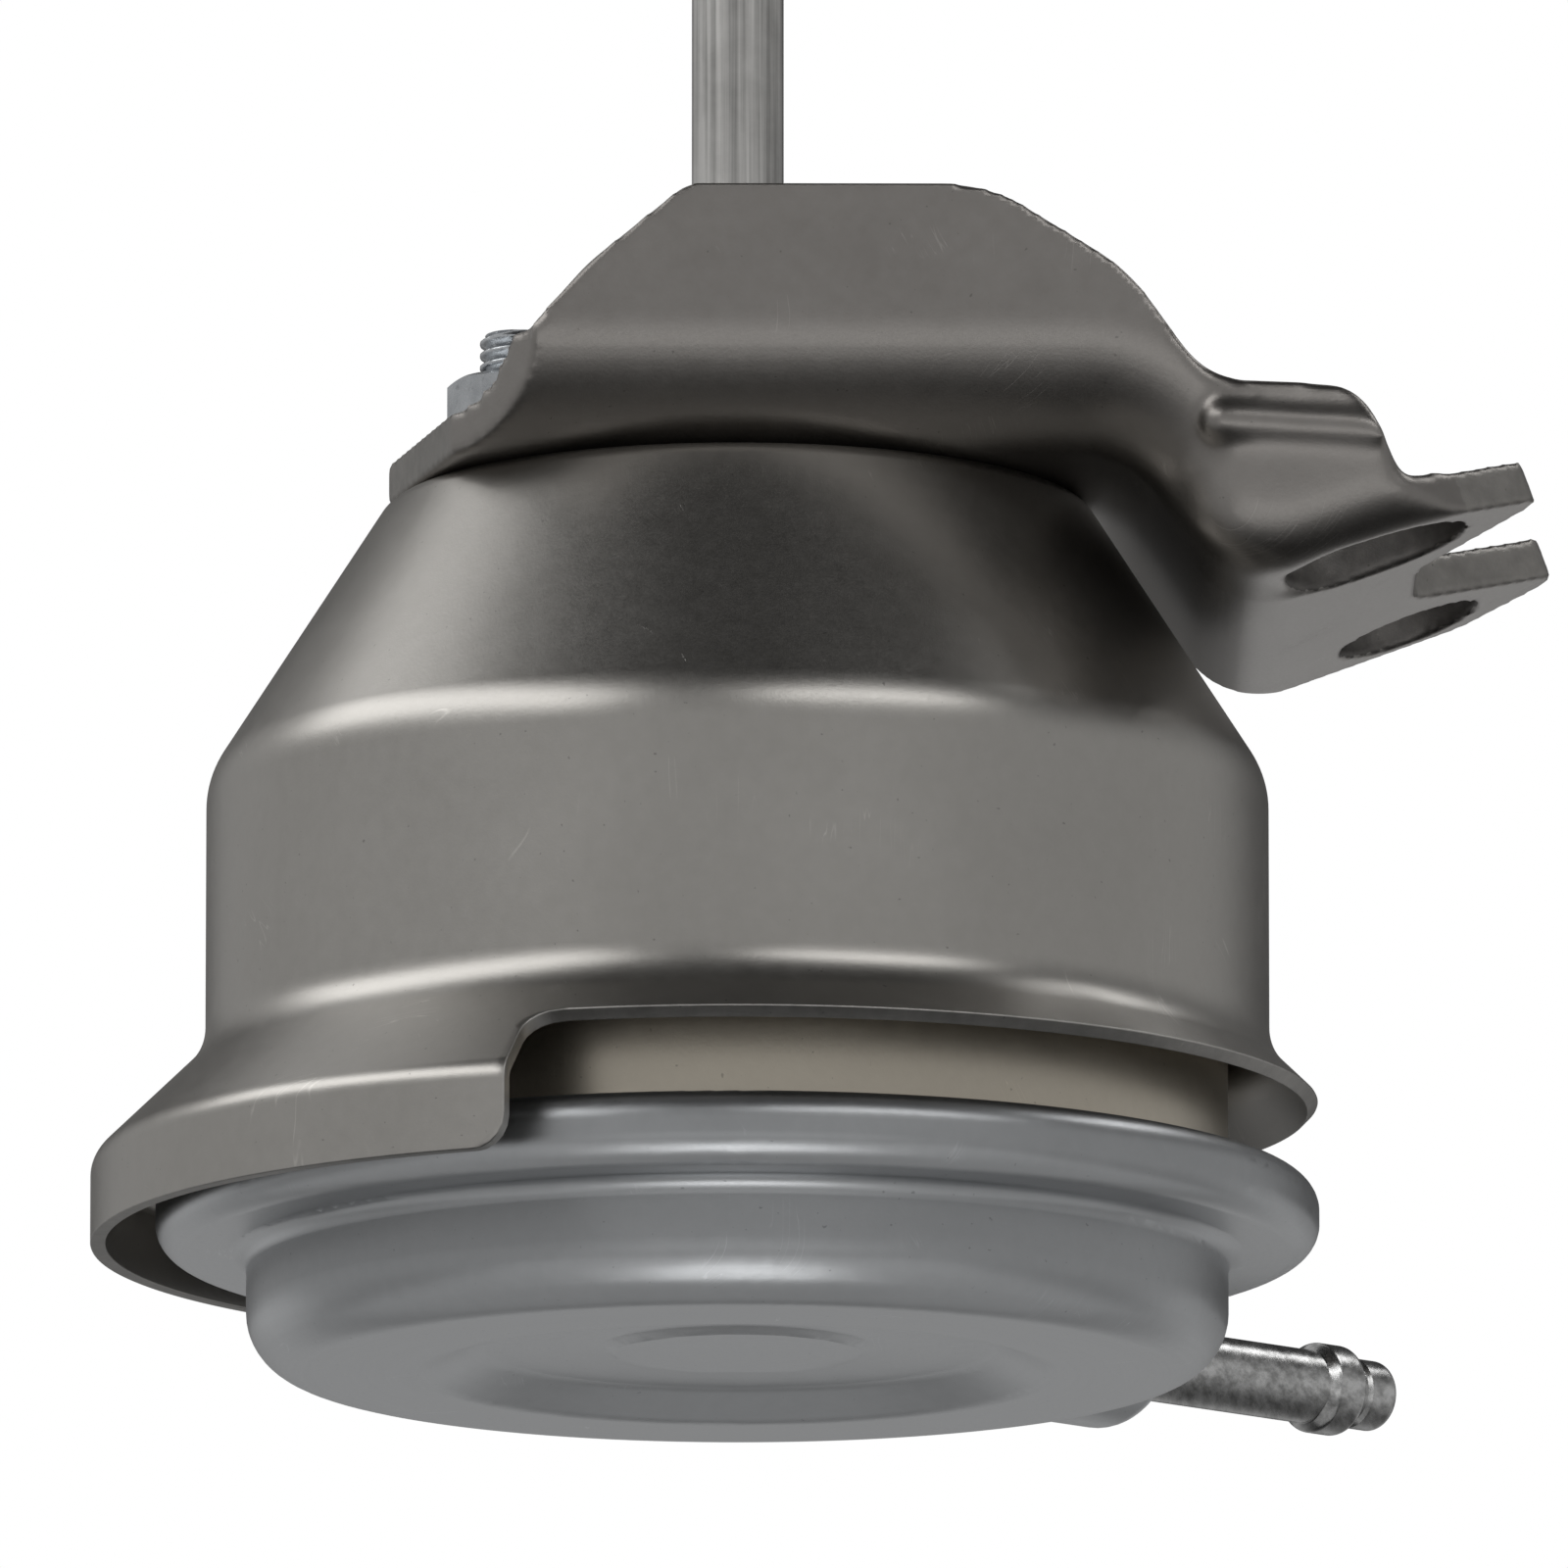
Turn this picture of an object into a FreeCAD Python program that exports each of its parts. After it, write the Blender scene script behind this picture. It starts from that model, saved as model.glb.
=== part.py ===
"""Boost pressure control valve: a spring-loaded diaphragm can with heat shield and bracket.

Millimetres. The origin is the centre of the cover's flat bottom ring, +Z runs up the rod,
the bracket's tall flange is on the -Y side and its forked ear points to +X.
"""
import FreeCAD, Part
import math
import os
import re
import Sketcher

V = FreeCAD.Vector
UP = V(0, 0, 1)
TO_FRONT = FreeCAD.Rotation(V(1, 0, 0), 90)
TO_SIDE = FreeCAD.Rotation(V(0, 1, 0), 90)
TINY = 1e-4

doc = FreeCAD.newDocument("BoostPressureControlValve")

# Driving dimensions: alias, value, meaning
SIZES = [
    # Heat shield, outer surface
    ("shield_sheet", 1.0, "sheet of the heat shield"),
    ("shield_top_height", 57.2, "flat top of the shield"),
    ("shield_top_radius", 22.7, "edge of the flat top"),
    ("shield_top_round", 2.0, "rounding of that edge"),
    ("band_clearance", 1.7, "cylindrical band to the can"),
    ("shield_knee_height", 38.8, "where the cone meets the band"),
    ("shield_knee_round", 6.0, "rounding at the knee"),
    ("shield_neck_height", 20.85, "where the band meets the flare"),
    ("shield_neck_round", 4.3, "rounding at the neck"),
    ("skirt_flare", 7.4, "skirt past the band"),
    ("skirt_shoulder_height", 13.7, "where the flare meets the skirt"),
    ("skirt_shoulder_round", 2.0, "rounding at the shoulder"),
    ("skirt_edge_height", 8.4, "lower edge of the skirt"),
    ("window_top_height", 17.8, "upper edge of the window"),
    ("window_start_angle", 249.5, "left end of the window, from +X"),
    ("window_sweep_angle", 180.5, "how far the window runs round"),
    ("window_corner_round", 2.2, "corners of the window, upper and lower"),
    ("shield_hole_play", 0.5, "hole round the guide housing, radial"),
    # Upper can, outer surface
    ("can_sheet", 1.2, "sheet of the upper can"),
    ("can_radius", 31.8, "cylinder of the upper can"),
    ("can_top_inset", 3.1, "edge of the can's flat top, inside the shield's"),
    ("can_knee_step", 0.6, "can's knee under the shield's knee"),
    ("can_knee_round", 5.0, "rounding at the can's knee"),
    ("can_top_round", 2.0, "rounding of the can's top edge"),
    ("can_flange_width", 4.4, "flange held by the crimp"),
    ("can_flange_round", 1.5, "rounding at the flange"),
    # Lower cover
    ("cover_sheet", 1.2, "sheet of the cover"),
    ("cover_corner_round", 4.0, "bottom corner of the bowl"),
    ("recess_floor_radius", 16.8, "flat floor of the bottom recess"),
    ("recess_slope", 3.7, "width of the recess's slope"),
    ("recess_depth", 1.8, "depth of the recess"),
    ("recess_round", 3.0, "roundings of the recess"),
    ("dimple_radius", 8.0, "centre dimple"),
    ("dimple_slope", 1.0, "width of the dimple's slope"),
    ("dimple_drop", 0.4, "how far the dimple stands proud of the recess"),
    ("rim_wall", 1.5, "crimped rim round the can's flange"),
    ("rim_bottom_height", 7.8, "underside of the rim"),
    ("rim_round", 2.0, "roundings of the rim"),
    ("rim_neck_round", 1.2, "rounding between bowl and rim"),
    ("rim_lap", 1.8, "how far the crimp laps over the flange"),
    ("nipple_angle", 43.0, "direction of the nipple, from +X"),
    ("nipple_height", 4.8, "axis of the nipple"),
    ("boss_radius", 6.5, "drawn bulge of the bowl round the nipple"),
    ("boss_lift", 0.1, "underside of that bulge over the flat ring"),
    ("boss_proud", 2.5, "how far that bulge stands out of the wall"),
    ("boss_round", 1.5, "rounding of its end"),
    # Hose nipple
    ("nipple_radius", 2.45, "tube of the nipple"),
    ("nipple_bore_radius", 1.5, "bore of the nipple"),
    ("nipple_inset", 1.0, "inner end of the nipple past the cover's wall"),
    ("nipple_reach", 26.0, "outer end of the nipple, from the cover's wall"),
    ("tip_radius", 2.33, "tube past the bead"),
    ("bead_radius", 3.0, "hose bead"),
    ("bead_width", 3.4, "length of the bead"),
    ("bead_slope", 0.6, "length of each slanted side of the bead"),
    ("bead_round", 0.6, "rounding of the bead"),
    ("bead_setback", 3.2, "plain tip past the bead"),
    ("tip_round", 0.7, "rounding of the tip"),
    # Diaphragm and piston
    ("rubber", 1.2, "thickness of the diaphragm"),
    ("roll_gap", 1.5, "free gap inside the rolled fold"),
    ("roll_flat", 0.1, "flat left at the top of the rolled fold, inside"),
    ("roll_rise", 7.2, "rolled fold over the diaphragm's middle"),
    ("wall_clearance", 0.2, "rubber to can wall"),
    ("piston_clearance", 0.3, "piston cup to rubber"),
    ("rest_clearance", 0.3, "backing plate to cover floor at rest"),
    ("cup_sheet", 1.5, "sheet of the piston cup"),
    ("cup_wall_height", 16.8, "height of the piston cup"),
    ("cup_round", 3.0, "bottom corner of the piston cup"),
    ("plate_sheet", 1.2, "sheet of the backing plate"),
    ("plate_stand", 2.5, "backing plate's edge past the recess"),
    ("plate_round", 2.2, "edge of the backing plate"),
    ("foot_clearance", 0.6, "rod's foot to the cover at rest"),
    ("plate_vent_radius", 1.5, "air holes of the backing plate"),
    ("plate_vent_circle", 15.5, "circle of the air holes"),
    ("washer_radius", 8.0, "washer under the rod's shoulder"),
    ("washer_thickness", 1.2, "that washer"),
    # Spring and seat
    ("wire", 3.4, "spring wire"),
    ("spring_inset", 2.6, "middle of the spring's wire, inside the can's top edge"),
    ("spring_turns", 6.0, "turns of the spring"),
    ("seat_sheet", 1.2, "sheet of the spring seat"),
    ("seat_collar_depth", 4.2, "collar inside the spring"),
    ("seat_lap", 1.4, "spring seat's flange past the middle of the wire"),
    ("seat_play", 0.3, "collar to spring"),
    # Rod, guide and seal
    ("rod_radius", 3.0, "rod"),
    ("rod_top_height", 112.0, "threaded top of the rod"),
    ("rod_shoulder", 0.5, "step from the rod to its threaded foot"),
    ("foot_overhang", 0.6, "foot past the piston nut"),
    ("rod_chamfer", 0.5, "ends of the rod"),
    ("running_fit", 0.03, "bush to rod, radial"),
    ("bush_wall", 2.0, "guide bush's outside, from the rod"),
    ("bush_setback", 0.3, "guide bush to rod seal"),
    ("guide_wall", 1.0, "guide housing round the seal"),
    ("guide_flange_width", 3.3, "flange of the guide housing"),
    ("guide_flange_thickness", 1.5, "that flange"),
    ("guide_proud", 6.4, "guide housing past the bracket"),
    ("seal_step", 1.2, "pocket of the rod seal past the bush"),
    ("seal_length", 2.8, "rod seal"),
    ("retainer_thickness", 0.8, "washer over the seal"),
    ("retainer_play", 0.5, "that washer to the rod"),
    # Bracket
    ("plate", 2.8, "bracket plate"),
    ("front", 25.5, "flange's outer face, from the axis towards -Y"),
    ("back", 19.5, "plate's back edge, from the axis towards +Y"),
    ("base_left", 22.8, "left tip of the base, from the axis"),
    ("leg_start", 25.3, "fold between base and leg"),
    ("leg_angle", 56.3, "fall of the leg"),
    ("leg_drop", 10.0, "drop of the leg"),
    ("leg_round", 6.0, "fold between base and leg, under side"),
    ("ear_angle", 20.0, "rise of the ear"),
    ("ear_round", 5.8, "fold between leg and ear, under side"),
    ("flange_round", 8.0, "fold of the front flange over the base, outside"),
    ("ear_flange_round", 3.7, "fold of the front flange over the ear, outside"),
    ("flange_top_rise", 13.5, "top of the front flange, from the base"),
    ("flange_left", 13.2, "flange's left edge at the fold, from the axis towards -X"),
    ("flange_left_rise", 4.2, "where the left edge starts to lean, from the base"),
    ("flange_bend_left", 9.6, "bend of the left edge, from the axis towards -X"),
    ("flange_bend_rise", 8.3, "height of that bend from the base"),
    ("flange_top_left", 3.2, "left end of the flange's top, from the axis towards -X"),
    ("flange_top_right", 16.1, "right end of the flange's top"),
    ("flange_top_round", 10.0, "rounding there"),
    ("flange_slope_end", 25.1, "where the long slope turns down"),
    ("flange_slope_rise", 7.9, "height of that point from the base"),
    ("flange_slope_round", 12.0, "rounding there"),
    ("shoulder_start", 30.1, "left end of the flange's shoulder over the ear"),
    ("shoulder_rise", 0.85, "that shoulder, from the base"),
    ("shoulder_start_round", 5.5, "rounding at its left end"),
    ("shoulder_end", 39.9, "right end of the shoulder"),
    ("shoulder_fall", 0.5, "how far the shoulder falls to its right end"),
    ("shoulder_end_round", 3.3, "rounding at its right end"),
    ("flange_end", 42.7, "where the flange meets the ear's top"),
    ("ridge_drop", 2.0, "stiffening bead of the flange, under the base's upper side"),
    ("ridge_radius", 1.5, "rounding of that bead"),
    ("ridge_proud", 0.8, "how far that bead stands out"),
    ("ridge_start", 31.2, "left end of that bead"),
    ("ridge_fall", 3.5, "how steeply that bead falls"),
    ("base_waist", 18.5, "base's left edge where the flange's fold starts, towards -X"),
    ("base_tip_offset", 0.3, "left tip from the axis towards -Y"),
    ("base_tip_round", 2.5, "rounding of the left tip"),
    ("base_back_left", 17.0, "base's back left corner, towards -X"),
    ("base_back_round", 5.0, "rounding there"),
    ("slot_width", 9.5, "slot and round hole of the ear"),
    ("slot_length", 11.9, "slot of the ear"),
    ("slot_reach", 10.0, "slot's middle from the fold"),
    ("slot_offset", 16.6, "slot's middle from the axis towards -Y"),
    ("hole_reach", 12.8, "round hole from the fold"),
    ("hole_offset", 13.2, "round hole from the axis towards +Y"),
    ("near_tip_reach", 21.6, "near finger's corner, from the fold"),
    ("far_tip_reach", 23.8, "far finger's corner, from the fold"),
    ("finger_round", 2.2, "tips of the fork"),
    ("near_flank_reach", 12.2, "start of the near finger's outer flank, from the fold"),
    ("far_flank_reach", 16.8, "start of the far finger's outer flank, from the fold"),
    ("flank_round", 3.0, "rounding there"),
    ("notch_reach", 13.0, "inner end of the notch, from the fold"),
    ("notch_near", 7.2, "notch's near corner, towards -Y"),
    ("notch_far", 2.6, "notch's far corner, towards +Y"),
    ("notch_round", 3.0, "corners of the notch"),
    ("bracket_hole_play", 1.0, "hole round the guide housing, radial"),
    # Studs and nuts
    ("stud_radius", 2.5, "M5 stud"),
    ("stud_x", 14.2, "stud from the axis along X"),
    ("stud_y", 8.0, "stud from the axis along Y"),
    ("stud_overhang", 3.0, "stud past its nut"),
    ("stud_hole_play", 0.25, "holes round the studs, radial"),
    ("small_nut_flats", 8.0, "M5 nut across flats"),
    ("small_nut_height", 4.0, "M5 nut"),
    # Rod end
    ("lock_nut_flats", 10.0, "M6 nut across flats"),
    ("lock_nut_height", 5.0, "M6 nut"),
    ("screwed_depth", 8.0, "how deep the rod is screwed into its end"),
    ("shank_radius", 5.0, "shank of the rod end"),
    ("eye_rise", 10.0, "axis of the eye past the rod's top"),
    ("eye_radius", 8.0, "ring of the eye"),
    ("eye_width", 7.0, "width of the eye"),
    ("eye_bush_radius", 5.2, "outside of the eye bush"),
    ("eye_bore_radius", 4.0, "bore of the eye bush"),
    ("eye_bush_proud", 0.6, "bush past the eye, each side"),
    ("edge_chamfer", 0.4, "small chamfers on turned pieces"),
    ("cutter_margin", 3.0, "how far a cutting solid runs past what it cuts"),
]

# Sizes that follow from the driving ones: alias, formula, meaning
FOLLOWING = [
    ("shield_band_radius", "can_radius + band_clearance + shield_sheet", "cylindrical band, outside"),
    ("skirt_radius", "shield_band_radius + skirt_flare", "skirt, outside"),
    ("flare_angle", "atan((shield_neck_height - skirt_shoulder_height) / (skirt_radius - shield_band_radius))",
     "fall of the shield's flare"),
    ("window_edge_radius", "skirt_radius - (window_top_height - skirt_shoulder_height) / tan(flare_angle)",
     "outer surface at the window's upper edge"),
    ("can_top_radius", "shield_top_radius - can_top_inset", "edge of the can's flat top"),
    ("can_knee_height", "shield_knee_height - can_knee_step", "where the can's cone meets its cylinder"),
    ("can_flange_radius", "can_radius + can_flange_width", "flange of the can"),
    ("cover_radius", "can_radius", "bowl of the cover, outside"),
    ("rim_radius", "can_flange_radius + rim_wall", "crimped rim"),
    ("rim_lip_radius", "can_flange_radius - rim_lap", "inner edge of the crimp"),
    ("recess_edge_radius", "recess_floor_radius + recess_slope", "outer edge of the bottom recess"),
    ("nipple_start", "cover_radius - cover_sheet - nipple_inset", "inner end of the nipple, from the axis"),
    ("nipple_tip", "cover_radius + nipple_reach", "outer end of the nipple, from the axis"),
    ("rod_foot_height", "recess_depth - dimple_drop + cover_sheet + foot_clearance", "lower end of the rod"),
    ("plate_top_height", "rod_foot_height + foot_overhang + small_nut_height + plate_sheet",
     "face under the diaphragm at rest"),
    ("plate_radius", "recess_edge_radius + plate_stand", "backing plate"),
    ("roll_round", "(roll_gap - roll_flat) / 2", "rounding inside the rolled fold"),
    ("roll_top_height", "plate_top_height + roll_rise", "top of the rolled fold"),
    ("foot_radius", "rod_radius - rod_shoulder", "threaded foot of the rod"),
    ("bush_radius", "rod_radius + bush_wall", "outside of the guide bush"),
    ("seal_radius", "bush_radius + seal_step", "pocket of the rod seal"),
    ("guide_radius", "seal_radius + guide_wall", "guide housing"),
    ("guide_flange_radius", "guide_radius + guide_flange_width", "flange of the guide housing"),
    ("guide_top_height", "shield_top_height + plate + guide_proud", "top of the guide housing"),
    ("seal_floor_height", "guide_top_height - edge_chamfer - retainer_thickness - seal_length", "foot of the rod seal"),
    ("bush_top_height", "seal_floor_height - bush_setback", "top of the guide bush"),
    ("shield_centre_hole_radius", "guide_radius + shield_hole_play", "shield's hole round the guide housing"),
    ("bracket_centre_hole_radius", "guide_radius + bracket_hole_play", "bracket's hole round it"),
    ("spring_radius", "can_top_radius - spring_inset", "middle of the spring's wire"),
    ("seat_radius", "spring_radius + seat_lap", "flange of the spring seat"),
    ("flange_top_height", "shield_top_height + plate + flange_top_rise", "top of the front flange"),
    ("flange_left_height", "shield_top_height + plate + flange_left_rise", "foot of its leaning left edge"),
    ("flange_bend_height", "shield_top_height + plate + flange_bend_rise", "bend of that edge"),
    ("flange_slope_height", "shield_top_height + plate + flange_slope_rise", "where the long slope turns down"),
    ("shoulder_height", "shield_top_height + plate + shoulder_rise", "flange's shoulder over the ear"),
    ("ridge_height", "shield_top_height + plate - ridge_drop", "stiffening bead of the flange"),
    ("shank_foot_height", "rod_top_height - screwed_depth", "foot of the rod end's shank"),
    ("lock_nut_rest", "shank_foot_height - lock_nut_height", "underside of the M6 nut"),
    ("eye_height", "rod_top_height + eye_rise", "axis of the eye"),
]

sizes = doc.addObject("Spreadsheet::Sheet", "Sizes")
ROWS = [(alias, str(number), meaning) for alias, number, meaning in SIZES]
ROWS += [(alias, "=" + formula, meaning) for alias, formula, meaning in FOLLOWING]
for row, (alias, content, meaning) in enumerate(ROWS, start=1):
    sizes.set("A%d" % row, meaning)
    sizes.set("B%d" % row, content)
    sizes.setAlias("B%d" % row, alias)
doc.recompute()
ALIASES = {alias for alias, _, _ in ROWS}


def bound(expression):
    """The expression with each alias pointing at the sheet."""
    return re.sub(r"[a-z_]+", lambda w: "Sizes." + w.group() if w.group() in ALIASES else w.group(), expression)


def value(expression):
    """What the expression gives with the sheet's numbers."""
    result = sizes.evalExpression(bound(expression))
    return float(getattr(result, "Value", result))


def sized(thing, **expressions):
    """Binds properties of a document object to the sheet."""
    for name, expression in expressions.items():
        thing.setExpression(name, bound(expression))
    return thing


# Heights that several pieces share, each worked out from the sheet
CAN_TOP = "(shield_top_height - shield_sheet)"
CAN_CEILING = "(shield_top_height - shield_sheet - can_sheet)"
CAVITY_FLOOR = "(rim_bottom_height + cover_sheet)"
FLANGE_TOP = "(rim_bottom_height + cover_sheet + rubber + can_sheet)"
RIM_TOP = "(rim_bottom_height + 2 * cover_sheet + rubber + can_sheet)"
RUBBER_TOP = "(plate_top_height + rubber)"
CUP_FLOOR = "(plate_top_height + rubber + cup_sheet)"
SHOULDER = "(plate_top_height + rubber + cup_sheet + washer_thickness)"
NUT_REST = "(rod_foot_height + foot_overhang)"
SEAT_FACE = "(shield_top_height - shield_sheet - can_sheet - seat_sheet)"
BASE_TOP = "(shield_top_height + plate)"
CUP_RADIUS = "(can_radius - can_sheet - wall_clearance - 2 * rubber - roll_gap - piston_clearance)"


def new_body(label):
    body = doc.addObject("PartDesign::Body", label)
    body.Label = label
    body.AllowCompound = True
    return body


def origin_part(body, role):
    return next(part for part in body.Origin.OriginFeatures if part.Role == role)


def new_sketch(body, name, role="XZ_Plane", lift=None):
    """A sketch on one of the body's origin planes, lifted along its normal."""
    sketch = body.newObject("Sketcher::SketchObject", name)
    sketch.AttachmentSupport = [(origin_part(body, role), "")]
    sketch.MapMode = "FlatFace"
    if lift:
        sketch.setExpression("AttachmentOffset.Base.z", bound(lift))
    return sketch


def loose_sketch(name, turn, place=None):
    """A sketch outside any body, for extrusions."""
    sketch = doc.addObject("Sketcher::SketchObject", name)
    sketch.Placement = FreeCAD.Placement(place or V(), turn)
    return sketch


def constrain(sketch, kind, *args, size=None):
    """Adds one constraint and binds its size to the sheet."""
    if size is None:
        return sketch.addConstraint(Sketcher.Constraint(kind, *args))
    index = sketch.addConstraint(Sketcher.Constraint(kind, *args, value(size)))
    sketch.setExpression("Constraints[%d]" % index, bound(size))
    return index


def pin(sketch, piece, end, across, along):
    """Fixes a point at its two distances from the sketch's origin."""
    constrain(sketch, "DistanceX", -1, 1, piece, end, size=across)
    constrain(sketch, "DistanceY", -1, 1, piece, end, size=along)


def unit(vector):
    return vector * (1.0 / vector.Length)


def tangent_points(before, corner, after, radius):
    """Where a rounding starts and ends on the two lines of a corner, and its middle."""
    inward, outward = unit(before - corner), unit(after - corner)
    half = inward.getAngle(outward) / 2
    reach = radius / math.tan(half)
    bisector = unit(inward + outward)
    middle = corner + bisector * (radius / math.sin(half) - radius)
    return corner + inward * reach, middle, corner + outward * reach


def draw_path(sketch, places, rounds, closed):
    """Lines and arcs through the corners. Gives the lines, and the arcs by corner."""
    count = len(places)
    arrive, leave, middles = list(places), list(places), {}
    for i in range(count):
        if rounds[i]:
            ends = tangent_points(places[i - 1], places[i], places[(i + 1) % count], value(rounds[i]))
            arrive[i], middles[i], leave[i] = ends
    spans = count if closed else count - 1
    lines = [
        sketch.addGeometry(Part.LineSegment(leave[i], arrive[(i + 1) % count]))
        for i in range(spans)
    ]
    arcs = {i: sketch.addGeometry(Part.Arc(arrive[i], middles[i], leave[i])) for i in middles}
    for i in range(0 if closed else 1, count if closed else count - 1):
        before, after = lines[i - 1], lines[i % spans]
        if i in arcs:
            near_start = (sketch.getPoint(arcs[i], 1) - arrive[i]).Length
            near_end = (sketch.getPoint(arcs[i], 2) - arrive[i]).Length
            first, last = (1, 2) if near_start < near_end else (2, 1)
            constrain(sketch, "Tangent", before, 2, arcs[i], first)
            constrain(sketch, "Tangent", arcs[i], last, after, 1)
            constrain(sketch, "Radius", arcs[i], size=rounds[i])
        else:
            constrain(sketch, "Coincident", before, 2, after, 1)
    return lines, arcs


def pin_corners(sketch, corners, places, lines, arcs, closed):
    """Fixes every corner of a path. A rounded corner gets a construction point."""
    count = len(corners)
    points = {}
    for i, (across, along, _) in enumerate(corners):
        if i in arcs:
            points[i] = sketch.addGeometry(Part.Point(places[i]), True)
            constrain(sketch, "PointOnObject", points[i], 1, lines[i - 1])
            constrain(sketch, "PointOnObject", points[i], 1, lines[i % len(lines)])
            pin(sketch, points[i], 1, across, along)
        elif i == count - 1 and not closed:
            pin(sketch, lines[-1], 2, across, along)
        else:
            pin(sketch, lines[i], 1, across, along)
    return points


def outline(sketch, corners):
    """A closed outline. Each corner is (across, along, rounding or None), as expressions."""
    places = [V(value(across), value(along), 0) for across, along, _ in corners]
    lines, arcs = draw_path(sketch, places, [c[2] for c in corners], True)
    pin_corners(sketch, corners, places, lines, arcs, True)
    return sketch


def sheet_outline(sketch, corners, sheet, side):
    """A sheet's section: a path of corners, and the same path one sheet further to one side.

    side is 1 where the sheet lies to the left of the path, -1 to the right.
    """
    places = [V(value(across), value(along), 0) for across, along, _ in corners]
    rounds = [c[2] for c in corners]
    lines, arcs = draw_path(sketch, places, rounds, False)
    pin_corners(sketch, corners, places, lines, arcs, False)
    headings = [unit(b - a) for a, b in zip(places, places[1:])]
    normals = [V(-h.y, h.x, 0) * side for h in headings]
    thick = value(sheet)
    inner_places = [places[0] + normals[0] * thick]
    inner_rounds = [None]
    for i in range(1, len(places) - 1):
        lean = 1 + normals[i - 1].dot(normals[i])
        inner_places.append(places[i] + (normals[i - 1] + normals[i]) * (thick / lean))
        turn = headings[i - 1].cross(headings[i]).z * side
        sign = "-" if turn > 0 else "+"
        inner_rounds.append("(%s) %s %s" % (rounds[i], sign, sheet) if rounds[i] else None)
    inner_places.append(places[-1] + normals[-1] * thick)
    inner_rounds.append(None)
    inner, _ = draw_path(sketch, inner_places, inner_rounds, False)
    for line, twin in zip(lines, inner):
        constrain(sketch, "Parallel", line, twin)
        constrain(sketch, "Distance", line, 1, twin, size=sheet)
    for line, twin, end, place in ((lines[0], inner[0], 1, 0), (lines[-1], inner[-1], 2, -1)):
        cap = sketch.addGeometry(Part.LineSegment(places[place], inner_places[place]))
        constrain(sketch, "Coincident", cap, 1, line, end)
        constrain(sketch, "Coincident", cap, 2, twin, end)
        constrain(sketch, "Perpendicular", cap, line)
    return sketch


def circle(sketch, across, along, radius):
    place = V(value(across), value(along), 0)
    ring = sketch.addGeometry(Part.Circle(place, UP, value(radius)))
    constrain(sketch, "Radius", ring, size=radius)
    pin(sketch, ring, 3, across, along)
    return ring


def revolved(body, sketch, feature="PartDesign::Revolution", name="Turned"):
    turned = body.newObject(feature, name)
    turned.Profile = sketch
    turned.ReferenceAxis = (sketch, ["V_Axis"])
    turned.Angle = 360
    sketch.Visibility = False
    return turned


def padded(body, sketch, length, feature="PartDesign::Pad", name="Padded", both=False, back=False):
    pad = body.newObject(feature, name)
    pad.Profile = sketch
    sized(pad, Length=length)
    pad.Midplane = both
    pad.Reversed = back
    return pad


def sheet_piece(label, corners, sheet, side):
    """A pressed round piece: one sheet outline turned about Z."""
    body = new_body(label)
    sketch = sheet_outline(new_sketch(body, label + "_section"), corners, sheet, side)
    revolved(body, sketch)
    return body


def turned_piece(label, corners):
    """A turned piece: one closed outline turned about Z."""
    body = new_body(label)
    revolved(body, outline(new_sketch(body, label + "_section"), corners))
    return body


def drilled(body, name, holes, height, depth, role="XY_Plane"):
    """Round holes cut down from a height: each hole is (across, along, radius)."""
    sketch = new_sketch(body, name + "_circles", role, height)
    for across, along, radius in holes:
        circle(sketch, across, along, radius)
    return padded(body, sketch, depth, "PartDesign::Pocket", name)


STUD_PLACES = [("stud_x", "stud_y"), ("-stud_x", "-stud_y")]


def stud_holes(radius):
    return [(x, y, radius) for x, y in STUD_PLACES]


def edges_where(shape, wanted):
    """Numbers of the edges that the test picks."""
    return [i + 1 for i, edge in enumerate(shape.Edges) if wanted(edge)]


def rounded_edges(name, base, picks):
    """A Part fillet. Each pick is (test of an edge, radius at its start, radius at its end)."""
    fillet = doc.addObject("Part::Fillet", name)
    fillet.Base = base
    rows = []
    for wanted, first, last in picks:
        rows += [(i, value(first), value(last)) for i in edges_where(base.Shape, wanted)]
    fillet.Edges = rows
    base.Visibility = False
    return fillet


def boolean(kind, name, base, tool):
    """Part::Cut, Part::Common or Part::Fuse of two objects."""
    result = doc.addObject("Part::" + kind, name)
    result.Base, result.Tool = base, tool
    return result


def extruded(name, sketch, direction, ahead, behind="0"):
    """A solid swept from a loose sketch along a direction, both ways."""
    solid = doc.addObject("Part::Extrusion", name)
    solid.Base = sketch
    solid.Dir = direction
    solid.DirMode = "Custom"
    solid.Solid = True
    sized(solid, LengthFwd=ahead, LengthRev=behind)
    return solid


def lies_at(edge, test):
    return len(edge.Vertexes) > 1 and all(test(vertex.Point) for vertex in edge.Vertexes)


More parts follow.
